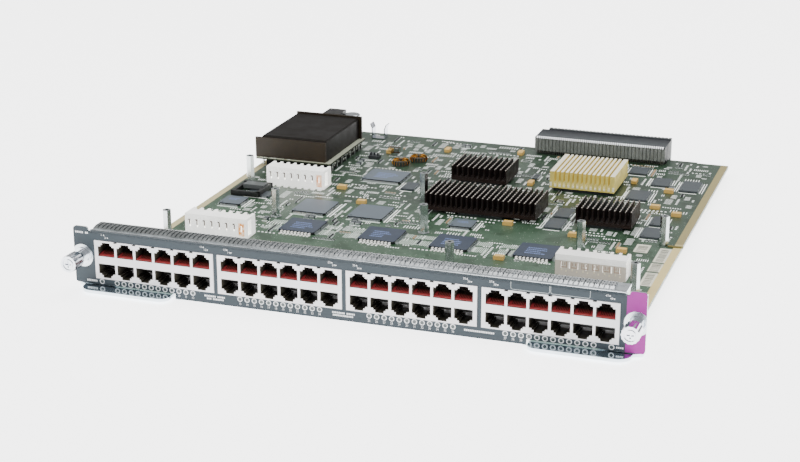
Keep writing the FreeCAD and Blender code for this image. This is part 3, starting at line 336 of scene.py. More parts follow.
def jack_plastic(colour):
    """White moulding with painted shade inside its ports, darker deeper in."""
    finish = plastic("jack_plastic", colour, 0.38)
    low, high = JACKS[0]
    pitch = JACKS[1][0].x - low.x
    depth = finish.axis(1) - (low.y + FRONT_MM)
    aside = abs((finish.axis(0) - (high.x + low.x - pitch) / 2) % pitch - pitch / 2)
    port_shade_mask = (depth > 0.25) * (depth < 14.4) * (finish.axis(2) < high.z - 0.5)
    port_shade_mask = port_shade_mask * (aside < (high.x - low.x) / 2 - 0.9)
    # Painted shade in the ports: brown-grey near the mouth, near-black deeper in.
    deep = finish.mix(finish.range(depth, 1.0, 8.0), srgb(72, 68, 58), srgb(44, 41, 36))
    finish.set("Base Color", finish.mix(port_shade_mask, finish.tint, deep))
    return finish


def carrier_plastic(colour):
    """Contact carriers: red with a painted glow where light falls near the front of the upper ports, painted
    shade deeper in, and near-black painted shade in the lower ones.
    """
    finish = plastic("carrier_red", colour, 0.42)
    z = finish.axis(2)
    floor = PORT_MID_Z + PORT_BAR / 2
    depth = finish.axis(1) - (JACKS[0][0].y + FRONT_MM)
    # Painted light: 1 near the mouth and floor of the upper ports, where light falls.
    painted_light_mask = finish.range(depth, 5.5, 9.0, 1.0, 0.0) * finish.range(z, floor + 3.6, floor + 5.4, 1.0, 0.0)
    # Painted shade: near-black deeper in the upper ports.
    shade = finish.mix(painted_light_mask, srgb(26, 16, 14), finish.tint)
    # Painted shade: the lower ports' carriers are near-black.
    finish.set("Base Color", finish.mix(z < PORT_MID_Z, shade, srgb(40, 39, 36)))
    # Painted glow on the lit part of the upper carriers.
    return finish.glow(finish.mix(painted_light_mask * (z > PORT_MID_Z), srgb(0, 0, 0), srgb(176, 58, 66)), 0.3)


def plated(name, colour, roughness=0.3, brushed=(1, 1, 1), depth=0.004):
    """Plated or bare metal, drawn out along its brushing."""
    finish = Finish(name, colour, roughness, 1.0).varied(9.0, 0.1, 0.08)
    return finish.bump(finish.noise(0.5, 3.0, brushed), depth)


def bright_tin(name, colour, glow, shade):
    """Solder or plating with a painted glow, so that it stays bright in shade."""
    tin = Finish(name, srgb(*colour), 0.4).varied(2.0, shade)
    # Painted glow.
    return tin.glow(srgb(*colour), glow)


def printed(name, colour, glow=0.0):
    """Screen-printed ink with slightly worn solidity, and a painted glow where glow is given."""
    finish = Finish(name, colour, 0.55).glow(colour, glow)
    worn = finish.range(finish.noise(0.5, 3.0), 0.35, 0.6)
    finish.set("Base Color", finish.mix(worn, tuple(c * 0.72 for c in colour), colour))
    return finish.bump(finish.noise(0.3), 0.004)


def label_film(name, colour):
    """Matt textured polyester film."""
    finish = Finish(name, colour, 0.55, specular_ior_level=0.3).varied(22.0, 0.06, 0.05)
    return finish.bump(finish.noise(0.25, 2.0), 0.006)


def panel_zinc(colour, film):
    """Zinc sheet whose upper bend wears the film's colour."""
    finish = plated("zinc_sheet", colour, 0.28, (0.1, 1, 1))
    y, z = finish.axis(1), finish.axis(2)
    top = where("gasket_top")[0].z
    bend = (y < FRONT_MM + 1.0) * (z > top - 2.3) * (z < top - 0.3)
    finish.set("Base Color", finish.mix(bend, finish.tint, film))
    finish.set("Metallic", finish.range(bend, 0.0, 1.0, 1.0, 0.0))
    return finish


def solder_mask(settings):
    """Green lacquer over copper: runs of traces, poured areas and vias, with painted shade darkening it
    towards the rear.
    """
    colour = tuple(settings.mask_colour)
    copper = tuple(settings.trace_colour)
    finish = Finish("solder_mask", colour, 0.42, coat_weight=0.12, coat_roughness=0.25)
    x = finish.axis(0)
    y = finish.axis(1)
    masks = []
    for cell, pitch, seed in ((11.0, 0.9, 3.0), (17.0, 1.3, 21.0)):
        cells = finish.add("ShaderNodeTexVoronoi", {"distance": "CHEBYCHEV"}, {
            "Vector": finish.mapped((1 / cell, 1 / cell, 0), (seed, seed, 0)), "Scale": 1.0,
            "Randomness": 0.85,
        }, output=1)
        kind, slope, filled = [
            finish.add("ShaderNodeSeparateColor", {}, {0: cells}, output=i) for i in range(3)
        ]
        across = abs(x % pitch - pitch / 2) < 0.2
        along = abs(y % pitch - pitch / 2) < 0.2
        slanting = abs((x + y) % (pitch * 1.4) - pitch * 0.7) < 0.26
        runs = across * (kind < 0.3) + along * (kind > 0.62)
        runs = runs + slanting * (slope > 0.82) * (kind > 0.3) * (kind < 0.62)
        masks.append(runs * (filled > 0.3))
    vias = finish.add("ShaderNodeTexVoronoi", {}, {
        "Vector": finish.mapped((1 / 2.3, 1 / 2.3, 0)), "Scale": 1.0, "Randomness": 0.9,
    })
    ring = vias < 0.13
    pour = finish.range(finish.noise(26.0, 1.0), 0.52, 0.54)
    trace = finish.add(
        "ShaderNodeMath", {"operation": "ADD", "use_clamp": True}, {0: masks[0], 1: masks[1]}
    )
    ground = finish.mix(pour * 0.35, colour, copper)
    ground = finish.mix(trace * 0.85, ground, copper)
    ground = finish.mix(ring, ground, tuple(settings.via_colour))
    # Painted shade: the mask darkens towards the rear, against the sheen there.
    rear = finish.range(y, FRONT_MM + 165, FRONT_MM + 250, 0.0, 0.42)
    ground = finish.mix(rear, ground, srgb(12, 18, 12))
    finish.set("Base Color", ground)
    finish.set("Roughness", finish.range(finish.noise(30.0, 2.0), 0.3, 0.7, 0.26, 0.42))
    return finish.bump(trace * 0.6 + ring * 0.4 + finish.noise(1.2) * 0.3, 0.03)


def bare_laminate():
    """Bare laminate with faint woven glass, darker on the right from half-way back."""
    finish = Finish("bare_laminate", srgb(206, 192, 140), 0.5)
    x, y = finish.axis(0), finish.axis(1)
    dark = finish.range(y, FRONT_MM + 190, FRONT_MM + 196)
    right = finish.mix(dark, srgb(224, 204, 140), srgb(158, 146, 98))
    finish.set("Base Color", finish.mix(x > 0, srgb(206, 194, 148), right))
    return finish.bump(abs(x % 0.8 - 0.4) + abs(y % 0.8 - 0.4), 0.02)


def anodised(name, colour, node, pitch, gloss=0.25):
    """Sawn fins with painted highlights in short dashes on their tips."""
    low, high = where(node)
    finish = Finish(name, colour, 0.45, 0.0, specular_ior_level=gloss).varied(6.0, 0.2, 0.08)
    x, y, z = finish.axes()
    run = (high.x - low.x - 1.2) / round((high.x - low.x - 1.2) / pitch)
    # Painted highlight: short bright dashes along the fin tips, broken by slanting cuts.
    cut = (y + x * 0.35) % 4.75 < 2.9
    tip = (z > high.z - 0.1) * ((x - low.x) % run < 0.7) * cut
    foot = finish.mix(finish.range(z, low.z, low.z + 7.0), tuple(c * 2.4 for c in colour), finish.tint)
    finish.set("Base Color", finish.mix(tip, foot, srgb(186, 178, 168)))
    return finish.bump(finish.noise(0.6, 3.0, (1, 0.05, 1)), 0.02)


def gold_anodised(colour):
    """Pale gold fins with painted highlights on their tips, a bright scalloped foot and a faint painted
    glow.
    """
    low, high = where("heat_sink_gold")
    # The whole sink has a faint painted glow.
    finish = Finish("sink_gold", colour, 0.4, 0.1).varied(6.0, 0.12, 0.08).glow(colour, 0.1)
    x, z = finish.axis(0), finish.axis(2)
    scallop = (z < low.z + 4.6) * ((x - low.x) % 3.55 < 1.7) * (z > low.z + 1.2)
    tint = finish.mix(scallop, finish.tint, srgb(255, 252, 226))
    # Painted highlight: the fin tops are near-white.
    finish.set("Base Color", finish.mix(z > high.z - 0.15, tint, srgb(255, 250, 230)))
    return finish.bump(finish.noise(0.6, 3.0, (1, 0.05, 1)), 0.02)


def header_nylon(node, colour, window=None, front=None):
    """Nylon header with a painted glow: an amber window at the front's right end, or painted shade on the
    lower front.
    """
    finish = plastic(node + "_nylon", colour, 0.42)
    low, high = where(node)
    x, y, z = finish.axes()
    face = y < low.y + FRONT_MM + 0.4
    tint = finish.tint
    # Painted shade: the lower part of the front face takes the given darker colour.
    if front:
        tint = finish.mix(face * finish.range(z, high.z - 4.4, high.z - 4.0, 1.0, 0.0), tint, front)
    if window:
        spot = (x > high.x - 6.4) * (x < high.x - 1.7) * (z > low.z + 3.0) * (z < high.z - 3.2)
        rust = finish.mix(finish.range(finish.noise(2.6, 2.0), 0.4, 0.6), window, srgb(246, 214, 186))
        tint = finish.mix(spot * face, tint, rust)
    finish.set("Base Color", tint)
    # Painted glow over the whole header.
    return finish.glow(tint, 0.5 if front else 1.0)


def finger_strip():
    """Sprung fingers with painted shade in the gaps between rows of crests and over the left part."""
    finish = plated("spring_fingers", srgb(222, 226, 228), 0.3, (1, 0.2, 1))
    x, y = finish.axis(0), finish.axis(1) - FRONT_MM
    slots = (x % 1.9 < 0.8) * (abs((y - 5.4) % 4.4 - 2.2) < 1.35) * (y > 5.4)
    # Painted shade over the left part of the strip.
    left = finish.range(x, -120, 20, 0.62, 0.0)
    crest = finish.mix(left, finish.tint, srgb(62, 68, 62))
    # Painted shade: the gaps between the fingers are dark.
    finish.set("Base Color", finish.mix(slots, crest, srgb(66, 72, 74)))
    finish.set("Metallic", finish.range(slots, 0.0, 1.0, 1.0, 0.1))
    return finish


def wafer_stack():
    """Stacked wafers: fine dark joints on the front, which grows darker towards the bottom, a dark top
    darker towards the rear, and painted shade on the right side.
    """
    finish = Finish("connector_grey", srgb(138, 142, 138), 0.55, specular_ior_level=0.15)
    finish.varied(10.0, 0.08)
    low, high = where("connector_wafers")
    x, y, z = finish.axes()
    front = low.y + FRONT_MM
    face = y < front + 0.3
    joint = (x % WAFER_PITCH < 0.34) * (z < high.z - 1.4)
    speck = finish.range(finish.noise(1.2, 2.0, (1, 1, 0.3)), 0.4, 0.6, 0.2, 0.9)
    dim = finish.range(z, low.z, high.z - 3, 0.6, 0.1)
    tint = finish.mix(face * (joint * speck + dim * 0.5), finish.tint, srgb(70, 74, 68))
    # Painted shade on the right side face.
    tint = finish.mix((x > high.x - 1.2) * (y > front + 0.3), tint, srgb(34, 37, 36))
    rear = finish.range(y, front + 2, high.y + FRONT_MM)
    tint = finish.mix(z > high.z - 0.05, tint, finish.mix(rear, srgb(84, 88, 90), srgb(36, 38, 42)))
    finish.set("Base Color", tint)
    return finish.bump(abs(x % WAFER_PITCH - 0.5), 0.2)


def module_laminate():
    """Dark board of the converter with a pale sawn edge at its top."""
    finish = Finish("module_laminate", srgb(44, 50, 38), 0.5, specular_ior_level=0.2).varied(5.0, 0.2)
    lip = finish.axis(2) > where("module_board")[1].z - 0.5
    finish.set("Base Color", finish.mix(lip, finish.tint, srgb(172, 176, 156)))
    return finish.bump(finish.noise(0.6), 0.01)


def package_epoxy():
    """Moulded packages with painted shade on their sides; those of the front row are darker and bluer, and
    the paler grey of the others is partly painted sheen.
    """
    finish = Finish("chip_epoxy", srgb(94, 104, 113), 0.4).varied(14.0, 0.06, 0.05)
    top = where("quad_packs")[1].z
    # Front row darker and bluer; the paler grey of the others is partly painted sheen.
    row_tone_and_sheen = finish.mix(finish.axis(1) < FRONT_MM + 160, finish.tint, srgb(46, 57, 74))
    # Painted shade on the package sides.
    side = finish.range(finish.axis(2), top - 0.3, top - 0.1)
    finish.set("Base Color", finish.mix(side, srgb(22, 27, 30), row_tone_and_sheen))
    return finish.bump(finish.noise(0.2, 2.0), 0.01)


def chip_top(name, colour):
    """Moulded epoxy with fine pitting."""
    finish = Finish(name, colour, 0.45, specular_ior_level=0.35).varied(7.0, 0.12, 0.08)
    return finish.bump(finish.noise(0.2, 2.0), 0.012)


# --- Shapes -----------------------------------------------------------------------
def cuboid(low, high):
    """A small closed box between two corners, as a mesh being built."""
    shape = bmesh.new()
    low, high = Vector(low), Vector(high)
    size = high - low
    bmesh.ops.create_cube(
        shape, size=1, matrix=Matrix.Translation((low + high) / 2) @ Matrix.Diagonal((*size, 1))
    )
    return shape


def bar(width, depth, height, z=0.0):
    """A box standing on z, centred on x and y."""
    return cuboid((-width / 2, -depth / 2, z), (width / 2, depth / 2, z + height))


def tile(width, depth):
    """A flat upward face."""
    shape = bmesh.new()
    bmesh.ops.create_grid(
        shape, x_segments=1, y_segments=1, size=0.5, matrix=Matrix.Diagonal((width, depth, 1, 1))
    )
    return shape


def rod(radius, length, segments=12, top=None):
    """An upright round bar standing on z = 0."""
    shape = bmesh.new()
    bmesh.ops.create_cone(
        shape, cap_ends=True, segments=segments, radius1=radius, radius2=radius if top is None else top,
        depth=length, matrix=Matrix.Translation((0, 0, length / 2)),
    )
    return shape


def scatter(shape, places, whole=None):
    """Copies of a small shape at many places, in one mesh."""
    seed = bpy.data.meshes.new("seed")
    shape.to_mesh(seed)
    shape.free()
    rest = [v.co.copy() for v in seed.vertices]
    whole = whole or bmesh.new()
    for place in places:
        for vertex, point in zip(seed.vertices, rest):
            vertex.co = place @ point
        whole.from_mesh(seed)
    bpy.data.meshes.remove(seed)
    return whole


def at(x, y, z, turn=0.0, size=(1, 1, 1)):
    """Place of a copy: scaled, turned about Z and moved."""
    return Matrix.Translation((x, y, z)) @ Matrix.Rotation(turn, 4, "Z") @ Matrix.Diagonal((*size, 1))


def facing(x, z, size=(1, 1, 1), y=FILM_Y - INK_LIFT):
    """Place on a front face for a shape drawn flat in X and Y."""
    return (
        Matrix.Translation((x, y, z)) @ Matrix.Rotation(math.pi / 2, 4, "X")
        @ Matrix.Diagonal((*size, 1))
    )


def merge(shapes):
    """Several shapes in one mesh."""
    whole = bmesh.new()
    for shape in shapes:
        seed = bpy.data.meshes.new("seed")
        shape.to_mesh(seed)
        whole.from_mesh(seed)
        bpy.data.meshes.remove(seed)
        shape.free()
    return whole


def piece(shape, name, finish, smooth=False):
    """A finished object: put in place, given its finish and slot, and set on the card."""
    bmesh.ops.transform(shape, matrix=PLACE, verts=shape.verts)
    mesh = bpy.data.meshes.new(name)
    shape.to_mesh(mesh)
    shape.free()
    mesh.materials.append(finish.material)
    if smooth:
        mesh.shade_smooth()
    thing = bpy.data.objects.new(name, mesh)
    bpy.context.scene.collection.objects.link(thing)
    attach(thing, "card")
    return thing


def blocks(places, name, finish):
    """A piece of small blocks, each standing at its place."""
    return piece(scatter(bar(1, 1, 1), places), name, finish)


def patches(places, name, finish, lift=0.0):
    """A piece of flat patches, raised a little so that they show."""
    raised = Matrix.Translation((0, 0, lift))
    return piece(scatter(tile(1, 1), [raised @ place for place in places]), name, finish)


def figures(text, size):
    """Numbers as a flat mesh in X and Y, centred."""
    curve = bpy.data.curves.new("figures", "FONT")
    curve.body = text
    curve.size = size
    curve.align_x = "CENTER"
    curve.align_y = "CENTER"
    curve.resolution_u = 2
    holder = bpy.data.objects.new("figures", curve)
    mesh = bpy.data.meshes.new_from_object(holder)
    shape = bmesh.new()
    shape.from_mesh(mesh)
    bpy.data.objects.remove(holder)
    bpy.data.curves.remove(curve)
    bpy.data.meshes.remove(mesh)
    return shape


def spaced(count, pitch, middle=0.0):
    """So many places on a line, evenly spaced about its middle."""
    return [middle + (i - (count - 1) / 2) * pitch for i in range(count)]


def dashes(chance, start, stop, lengths, gap, skipped=0.0):
    """Middle and length of each mark of a printed row, some of them skipped."""
    while start < stop:
        length = chance.uniform(*lengths)
        if not skipped or chance.random() > skipped:
            yield start + length / 2, length
        start += length + gap


# --- Settings ---------------------------------------------------------------------
def colour_property(name, description, default):
    return FloatVectorProperty(
        name=name, description=description, default=default, subtype="COLOR", min=0.0, max=1.0
    )


def size_property(name, description, default):
    return FloatProperty(name=name, description=description, default=default, min=0.0)


class PanelSettings(bpy.types.PropertyGroup):
    """Colours and print of the faceplate"""
    film_colour: colour_property("Film", "Printed film over the faceplate", srgb(48, 57, 63))
    end_colour: colour_property("End film", "Coloured film at the right end", srgb(140, 36, 128))
    ink_colour: colour_property("Ink", "Rings, numbers and marks", srgb(236, 238, 240))
    ring_radius: size_property("Ring radius", "Outside of the rings round the lights, mm", 1.8)
    ring_width: size_property("Ring width", "Width of the printed rings, mm", 0.55)
    figure_size: size_property("Figure size", "Height of the numbers under the lights, mm", 2.2)


class BoardSettings(bpy.types.PropertyGroup):
    """Colours and small parts of the circuit board"""
    mask_colour: colour_property("Mask", "Solder mask over bare laminate", srgb(37, 65, 42))
    trace_colour: colour_property("Trace", "Solder mask over copper", srgb(72, 100, 78))
    via_colour: colour_property("Via", "Tinned via rings", srgb(196, 206, 190))
    clusters: IntProperty(
        name="Clusters", description="Rows of small parts that are tried", default=7000, min=0
    )
    seed: IntProperty(name="Seed", description="Arrangement of the small parts", default=11, min=0)


class PartSettings(bpy.types.PropertyGroup):
    """Colours of the jacks, headers and metalwork"""
    jack_colour: colour_property("Jacks", "Moulded jack blocks", srgb(232, 230, 232))
    carrier_colour: colour_property("Carriers", "Contact carriers in the ports", srgb(128, 40, 36))
    header_colour: colour_property("Headers", "Power headers", srgb(250, 249, 245))
    zinc_colour: colour_property("Zinc", "Plated steel", srgb(214, 220, 224))
    sink_colour: colour_property("Black sinks", "Black anodised fins", srgb(22, 13, 11))
    gold_colour: colour_property("Gold sink", "Gold anodised fins", srgb(224, 206, 112))


# --- Finishes of the CAD nodes ------------------------------------------------------
class CARD_OT_cad_finishes(bpy.types.Operator):
    """Gives every CAD node its finish"""
    bl_idname = "card.cad_finishes"
    bl_label = "CAD finishes"

    def execute(self, context):
        panel = context.scene.card_panel
        parts = context.scene.card_parts
        zinc = tuple(parts.zinc_colour)
        film = tuple(panel.film_colour)
        paint(panel_zinc(zinc, film), "faceplate")
        paint(label_film("grey_film", film), "front_film")
        paint(label_film("end_film", tuple(panel.end_colour)), "end_film")
        paint(finger_strip(), "gasket_top")
        lens = Finish("light_bar", srgb(210, 216, 210), 0.2, transmission_weight=0.5).varied(3.0, 0.1)
        paint(lens, "light_guides")
        paint(solder_mask(context.scene.card_board), "circuit_board")
        paint(jack_plastic(tuple(parts.jack_colour)), *named("jack_housing", GROUPS))
        paint(carrier_plastic(tuple(parts.carrier_colour)), *named("contact_carriers", GROUPS))
        lever = plated("lever_zinc", srgb(214, 226, 234), 0.12, (0.15, 1, 1), 0.001)
        paint(lever, *named("ejector_lever", SIDES))
        paint(plated("bracket_zinc", zinc, 0.34), *named("lever_bracket", SIDES))
        paint(plated("rivet_steel", srgb(196, 198, 200), 0.3), *named("lever_rivet", SIDES))
        nickel = plated("screw_nickel", srgb(222, 226, 232), 0.16, depth=0.0005)
        paint(nickel, *named("captive_screw", SIDES), *named("screw_ferrule", SIDES))
        paint(plated("clip_wire", WIRE_STEEL, 0.25), *named("screw_clip", SIDES))
        paint(plated("standoff_steel", srgb(200, 206, 206), 0.2, (1, 1, 0.15), 0.0005),
              "standoffs", "standoff_collars", "bracket_screws")
        white = tuple(parts.header_colour)
        for place, looks in (
            ("front_left", {"window": srgb(214, 138, 58)}), ("rear_left", {"window": srgb(222, 152, 112)}),
            # The right header's lower front gets painted shade.
            ("front_right", {"front": srgb(176, 168, 156)}),
        ):
            node = f"power_header_{place}"
            paint(header_nylon(node, white, **looks), node)
        paint(plated("contact_gold", srgb(214, 168, 82), 0.26), "header_blades")
        paint(module_laminate(), "module_board")
        cover = Finish("module_black", srgb(22, 19, 16), 0.5, specular_ior_level=0.12).varied(18.0, 0.2)
        cover.bump(cover.noise(0.4, 2.0), 0.01)
        paint(cover, "module_cover")
        plate = Finish("module_plate", srgb(46, 39, 30), 0.5, specular_ior_level=0.2).varied(12.0, 0.2)
        plate.bump(plate.noise(0.5, 3.0, (0.1, 1, 1)), 0.01)
        paint(plate, "module_end_plates")
        paint(plated("tin", srgb(198, 202, 200), 0.35), "module_pins", "lead_frames")
        paint(chip_top("choke_black", srgb(32, 31, 31)), "choke")
        paint(plated("capacitor_can", srgb(186, 190, 194), 0.25, (1, 1, 0.1)), "bulk_capacitor")
        paint(plated("clip_steel", srgb(206, 210, 218), 0.2), "cooling_clip")
        black = tuple(parts.sink_colour)
        for node, pitch in (
            ("heat_sink_long", 4.05), ("heat_sink_right", 4.05), ("heat_sink_left_rear", 4.41),
        ):
            paint(anodised(node + "_black", black, node, pitch), node)
        paint(gold_anodised(tuple(parts.gold_colour)), "heat_sink_gold")
        paint(package_epoxy(), "quad_packs")
        paint(chip_top("chip_grey", srgb(72, 78, 82)), "low_packs")
        paint(chip_top("chip_dark", srgb(48, 52, 54)), "sink_chips", "jumper_block")
        paint(plastic("tantalum_case", srgb(228, 186, 104), 0.4), "tantalum_capacitors")
        paint(chip_top("core_green", srgb(60, 66, 58)), "toroids")
        paint(wafer_stack(), "connector_wafers")
        paint(plastic("shroud_grey", srgb(58, 62, 64), 0.5), "connector_shroud")
        return {"FINISHED"}


class CARD_OT_screw_springs(bpy.types.Operator):
    """Return springs on the captive screws, copied from the CAD spring nodes, which are hidden"""
    bl_idname = "card.screw_springs"
    bl_label = "Screw springs"

    def execute(self, context):
        wire = plated("spring_wire", WIRE_STEEL, 0.25)
        joints = {joint["name"]: joint for joint in frame["record"]["behaviour"]["joints"]}
        for side in SIDES:
            node = f"screw_spring_{side}"
            joint = f"screw_{side}_push"
            travel = joints[joint]["range_m"][1]
            low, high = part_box(node)
            shape = bmesh.new()
            shape.from_mesh(NODES[node].data)
            bmesh.ops.transform(shape, matrix=BACK_TO_MM, verts=shape.verts)
            spring = piece(shape, f"return_spring_{side}", wire)
            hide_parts(node)
            keep = 1 - travel / (high.y - low.y)
            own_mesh(spring)
        return {"FINISHED"}


# --- Ports ----------------------------------------------------------------------------
class CARD_OT_port_contacts(bpy.types.Operator):
    """Eight sprung wires in each of the 48 ports"""
    bl_idname = "card.port_contacts"
    bl_label = "Port contacts"

    def execute(self, context):
        places = []
        for low, high in JACKS:
            for x in spaced(PORT_COLUMNS, PORT_PITCH, (low.x + high.x) / 2):
                for side in (1, -1):
                    floor = PORT_MID_Z + side * PORT_BAR / 2
                    for wire in spaced(PORT_WIRES, WIRE_PITCH, x):
                        start = Vector((wire, low.y + 3.0, floor + side * 1.15))
                        end = Vector((wire, low.y + 11.6, floor + side * 4.2))
                        run = end - start
                        tilt = math.atan2(run.z, run.y)
                        places.append(
                            Matrix.Translation((start + end) / 2) @ Matrix.Rotation(tilt, 4, "X")
                            @ Matrix.Diagonal((0.42, run.length, 0.3, 1))
                        )
        wires = scatter(bar(1, 1, 1, -0.5), places)
        # Gold darkened to deep brown as painted shade inside the ports.
        gold = Finish("spring_gold", srgb(62, 48, 34), 0.5, 0.3).varied(1.0, 0.2)
        piece(wires, "port_contacts", gold)
        return {"FINISHED"}


# --- Print on the faceplate --------------------------------------------------------------
def light_places():
    """Middle of each light: those of the four rows of twelve, and the two single ones."""
    rows = []
    singles = []
    for low, high in LIGHTS:
        x, z = (low.x + high.x) / 2, (low.z + high.z) / 2
        if high.x - low.x > 2 * LIGHT_PITCH:
            rows.extend((u, z) for u in spaced(LIGHT_COUNT, LIGHT_PITCH, x))
        else:
            singles.append((x, z))
    return rows, singles


class CARD_OT_light_rings(bpy.types.Operator):
    """Printed rings and smoked lenses of the status lights"""
    bl_idname = "card.light_rings"
    bl_label = "Light rings"

    def execute(self, context):
        panel = context.scene.card_panel
        rows, singles = light_places()
        spots = rows + singles
        ring = bmesh.new()
        bmesh.ops.create_circle(ring, cap_ends=True, segments=28, radius=panel.ring_radius)
        middle = ring.faces[:]
        bmesh.ops.inset_region(ring, faces=middle, thickness=panel.ring_width, use_boundary=True,
                               use_even_offset=True)
        bmesh.ops.delete(ring, geom=middle, context="FACES_ONLY")
        rings = scatter(ring, [facing(x, z) for x, z in spots])
        ink = printed("ring_ink", tuple(panel.ink_colour))
        piece(rings, "light_rings", ink)
        lens = rod(panel.ring_radius - panel.ring_width, 0.12, 20, panel.ring_radius - 0.75)
        smoked = Finish("smoked_lens", srgb(66, 74, 74), 0.2, coat_weight=0.3).varied(1.0, 0.15)
        lenses = scatter(lens, [facing(x, z, y=FILM_Y) for x, z in spots])
        piece(lenses, "light_lenses", smoked)
        return {"FINISHED"}


class CARD_OT_panel_print(bpy.types.Operator):
    """Numbers, arrows, plain rows of marks and two rounded frames on the film"""
    bl_idname = "card.panel_print"
    bl_label = "Panel print"

    def execute(self, context):
        panel = context.scene.card_panel
        ink = printed("panel_ink", tuple(panel.ink_colour))
        whole = bmesh.new()
        for number, (x, z) in enumerate(light_places()[0], 1):
            digits = figures(str(number), panel.figure_size)
            scatter(digits, [facing(x, z - 3.3, (0.85, 1, 1))], whole)
        arrow = bmesh.new()
        bmesh.ops.create_circle(arrow, cap_ends=True, segments=3, radius=0.75)
        arrows = []
        for block, (low, high) in enumerate(JACKS):
            for x, pair in ((low.x + 7.4, (1, 2)), (high.x - 6.6, (11, 12))):
                for port, u, w, up in ((pair[0], -1.3, 4.1, 1), (pair[1], 1.5, 2.5, -1)):
                    digits = figures(str(block * 12 + port), 2.0)
                    scatter(digits, [facing(x + u - 0.4, high.z + w)], whole)
                    arrows.append(facing(x + u + 1.3, high.z + w, (0.9, 0.9 * up, 1)))
        scatter(arrow, arrows, whole)
        chance = random.Random(5)
        marks = []
        for left, right, z, height in PANEL_ROWS:
            for x, width in dashes(chance, left, right - 0.4, (0.7, 1.15), 0.25, 0.12):
                marks.append(facing(x, z, (width, height, 1)))
        scatter(tile(1, 1), marks, whole)
        bmesh.ops.recalc_face_normals(whole, faces=whole.faces)
        for face in whole.faces:
            if face.normal.y > 0:
                face.normal_flip()
        piece(whole, "panel_figures", ink)
        frames = bmesh.new()
        for left, right in FRAME_SPANS:
            outline = self.rounded_frame(right - left, 5.1, 0.32)
            scatter(outline, [facing((left + right) / 2, FRAME_Z)], frames)
        faint = printed("frame_ink", srgb(168, 176, 178))
        piece(frames, "group_frames", faint)
        return {"FINISHED"}

    def rounded_frame(self, width, height, line):
        """Thin line down one side, along the bottom and up the other."""
        shape = bmesh.new()
        radius = 1.4
        corners = [(-width / 2, height / 2), (-width / 2, radius - height / 2)]
        for side in (-1, 1):
            start = 180 if side < 0 else 270
            for step in range(1, 6):
                turn = math.radians(start + step * 18)
                centre_x = side * (width / 2 - radius)
                corners.append((
                    centre_x + radius * math.cos(turn), radius - height / 2 + radius * math.sin(turn)
                ))
            if side < 0:
                corners.append((width / 2 - radius, -height / 2))
        corners.append((width / 2, height / 2))
        path = [shape.verts.new((x, y, 0)) for x, y in corners]
        edges = [shape.edges.new(pair) for pair in zip(path, path[1:])]
        made = bmesh.ops.extrude_edge_only(shape, edges=edges)["geom"]
        for vertex in made:
            if isinstance(vertex, bmesh.types.BMVert):
                x, y, _ = vertex.co
                inner_x = max(-width / 2 + radius, min(width / 2 - radius, x))
                inner_y = max(radius - height / 2, y)
                towards = Vector((inner_x - x, inner_y - y, 0))
                vertex.co += towards.normalized() * line if towards.length else Vector((0, 0, 0))
        return shape


# --- Chips -------------------------------------------------------------------------------
def gull_wing(width):
    """One lead: a foot on its pad and a leg up to the package, outwards along +Y."""
    shape = bmesh.new()
    bmesh.ops.create_grid(shape, x_segments=1, y_segments=1, size=0.5,
                          matrix=Matrix.Translation((0, 1.15, 0.14)) @ Matrix.Diagonal((width, 0.7, 1, 1)))
    back = [e for e in shape.edges if all(v.co.y < 0.9 for v in e.verts)]
    for step in ((0, -0.25, 0.95), (0, -0.6, 0.1)):
        made = bmesh.ops.extrude_edge_only(shape, edges=back)["geom"]
        verts = [g for g in made if isinstance(g, bmesh.types.BMVert)]
        bmesh.ops.translate(shape, vec=step, verts=verts)
        back = [g for g in made if isinstance(g, bmesh.types.BMEdge) and all(v in verts for v in g.verts)]
    bmesh.ops.solidify(shape, geom=shape.faces[:], thickness=0.14)
    bmesh.ops.recalc_face_normals(shape, faces=shape.faces)
    return shape


class CARD_OT_chip_leads(bpy.types.Operator):
    """Gull-wing leads and solder pads of the quad and low packages"""
    bl_idname = "card.chip_leads"
    bl_label = "Chip leads"

    def execute(self, context):
        leads = []
        pads = []
        for node, pitch, all_round in (("quad_packs", 0.8, True), ("low_packs", 0.95, False)):
            for low, high in solids(node):
                middle = (low + high) / 2
                half = (high - low) / 2
                for quarter in range(4):
                    out, along = (half.x, half.y) if quarter % 2 else (half.y, half.x)
                    if not all_round and (half.x > half.y) == bool(quarter % 2):
                        continue
                    if quarter == 2 and all_round and low.y < FRONT_ROW_END:
                        continue
                    side = at(middle.x, middle.y, BOARD_TOP, -quarter * math.pi / 2)
                    count = int((2 * along - 2.2) / pitch)
                    for u in spaced(count, pitch):
                        leads.append(side @ at(u, out, 0))
                        pads.append(side @ at(u, out + 1.3, 0.03, size=(0.5, 1.8, 1)))
        tin = plated("lead_tin", srgb(206, 212, 214), 0.3)
        thing = piece(scatter(gull_wing(0.4), leads), "chip_leads", tin)
        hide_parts("lead_frames")
        solder = plated("pad_solder", srgb(214, 222, 218), 0.4)
        patches(pads, "chip_pads", solder)
        return {"FINISHED"}


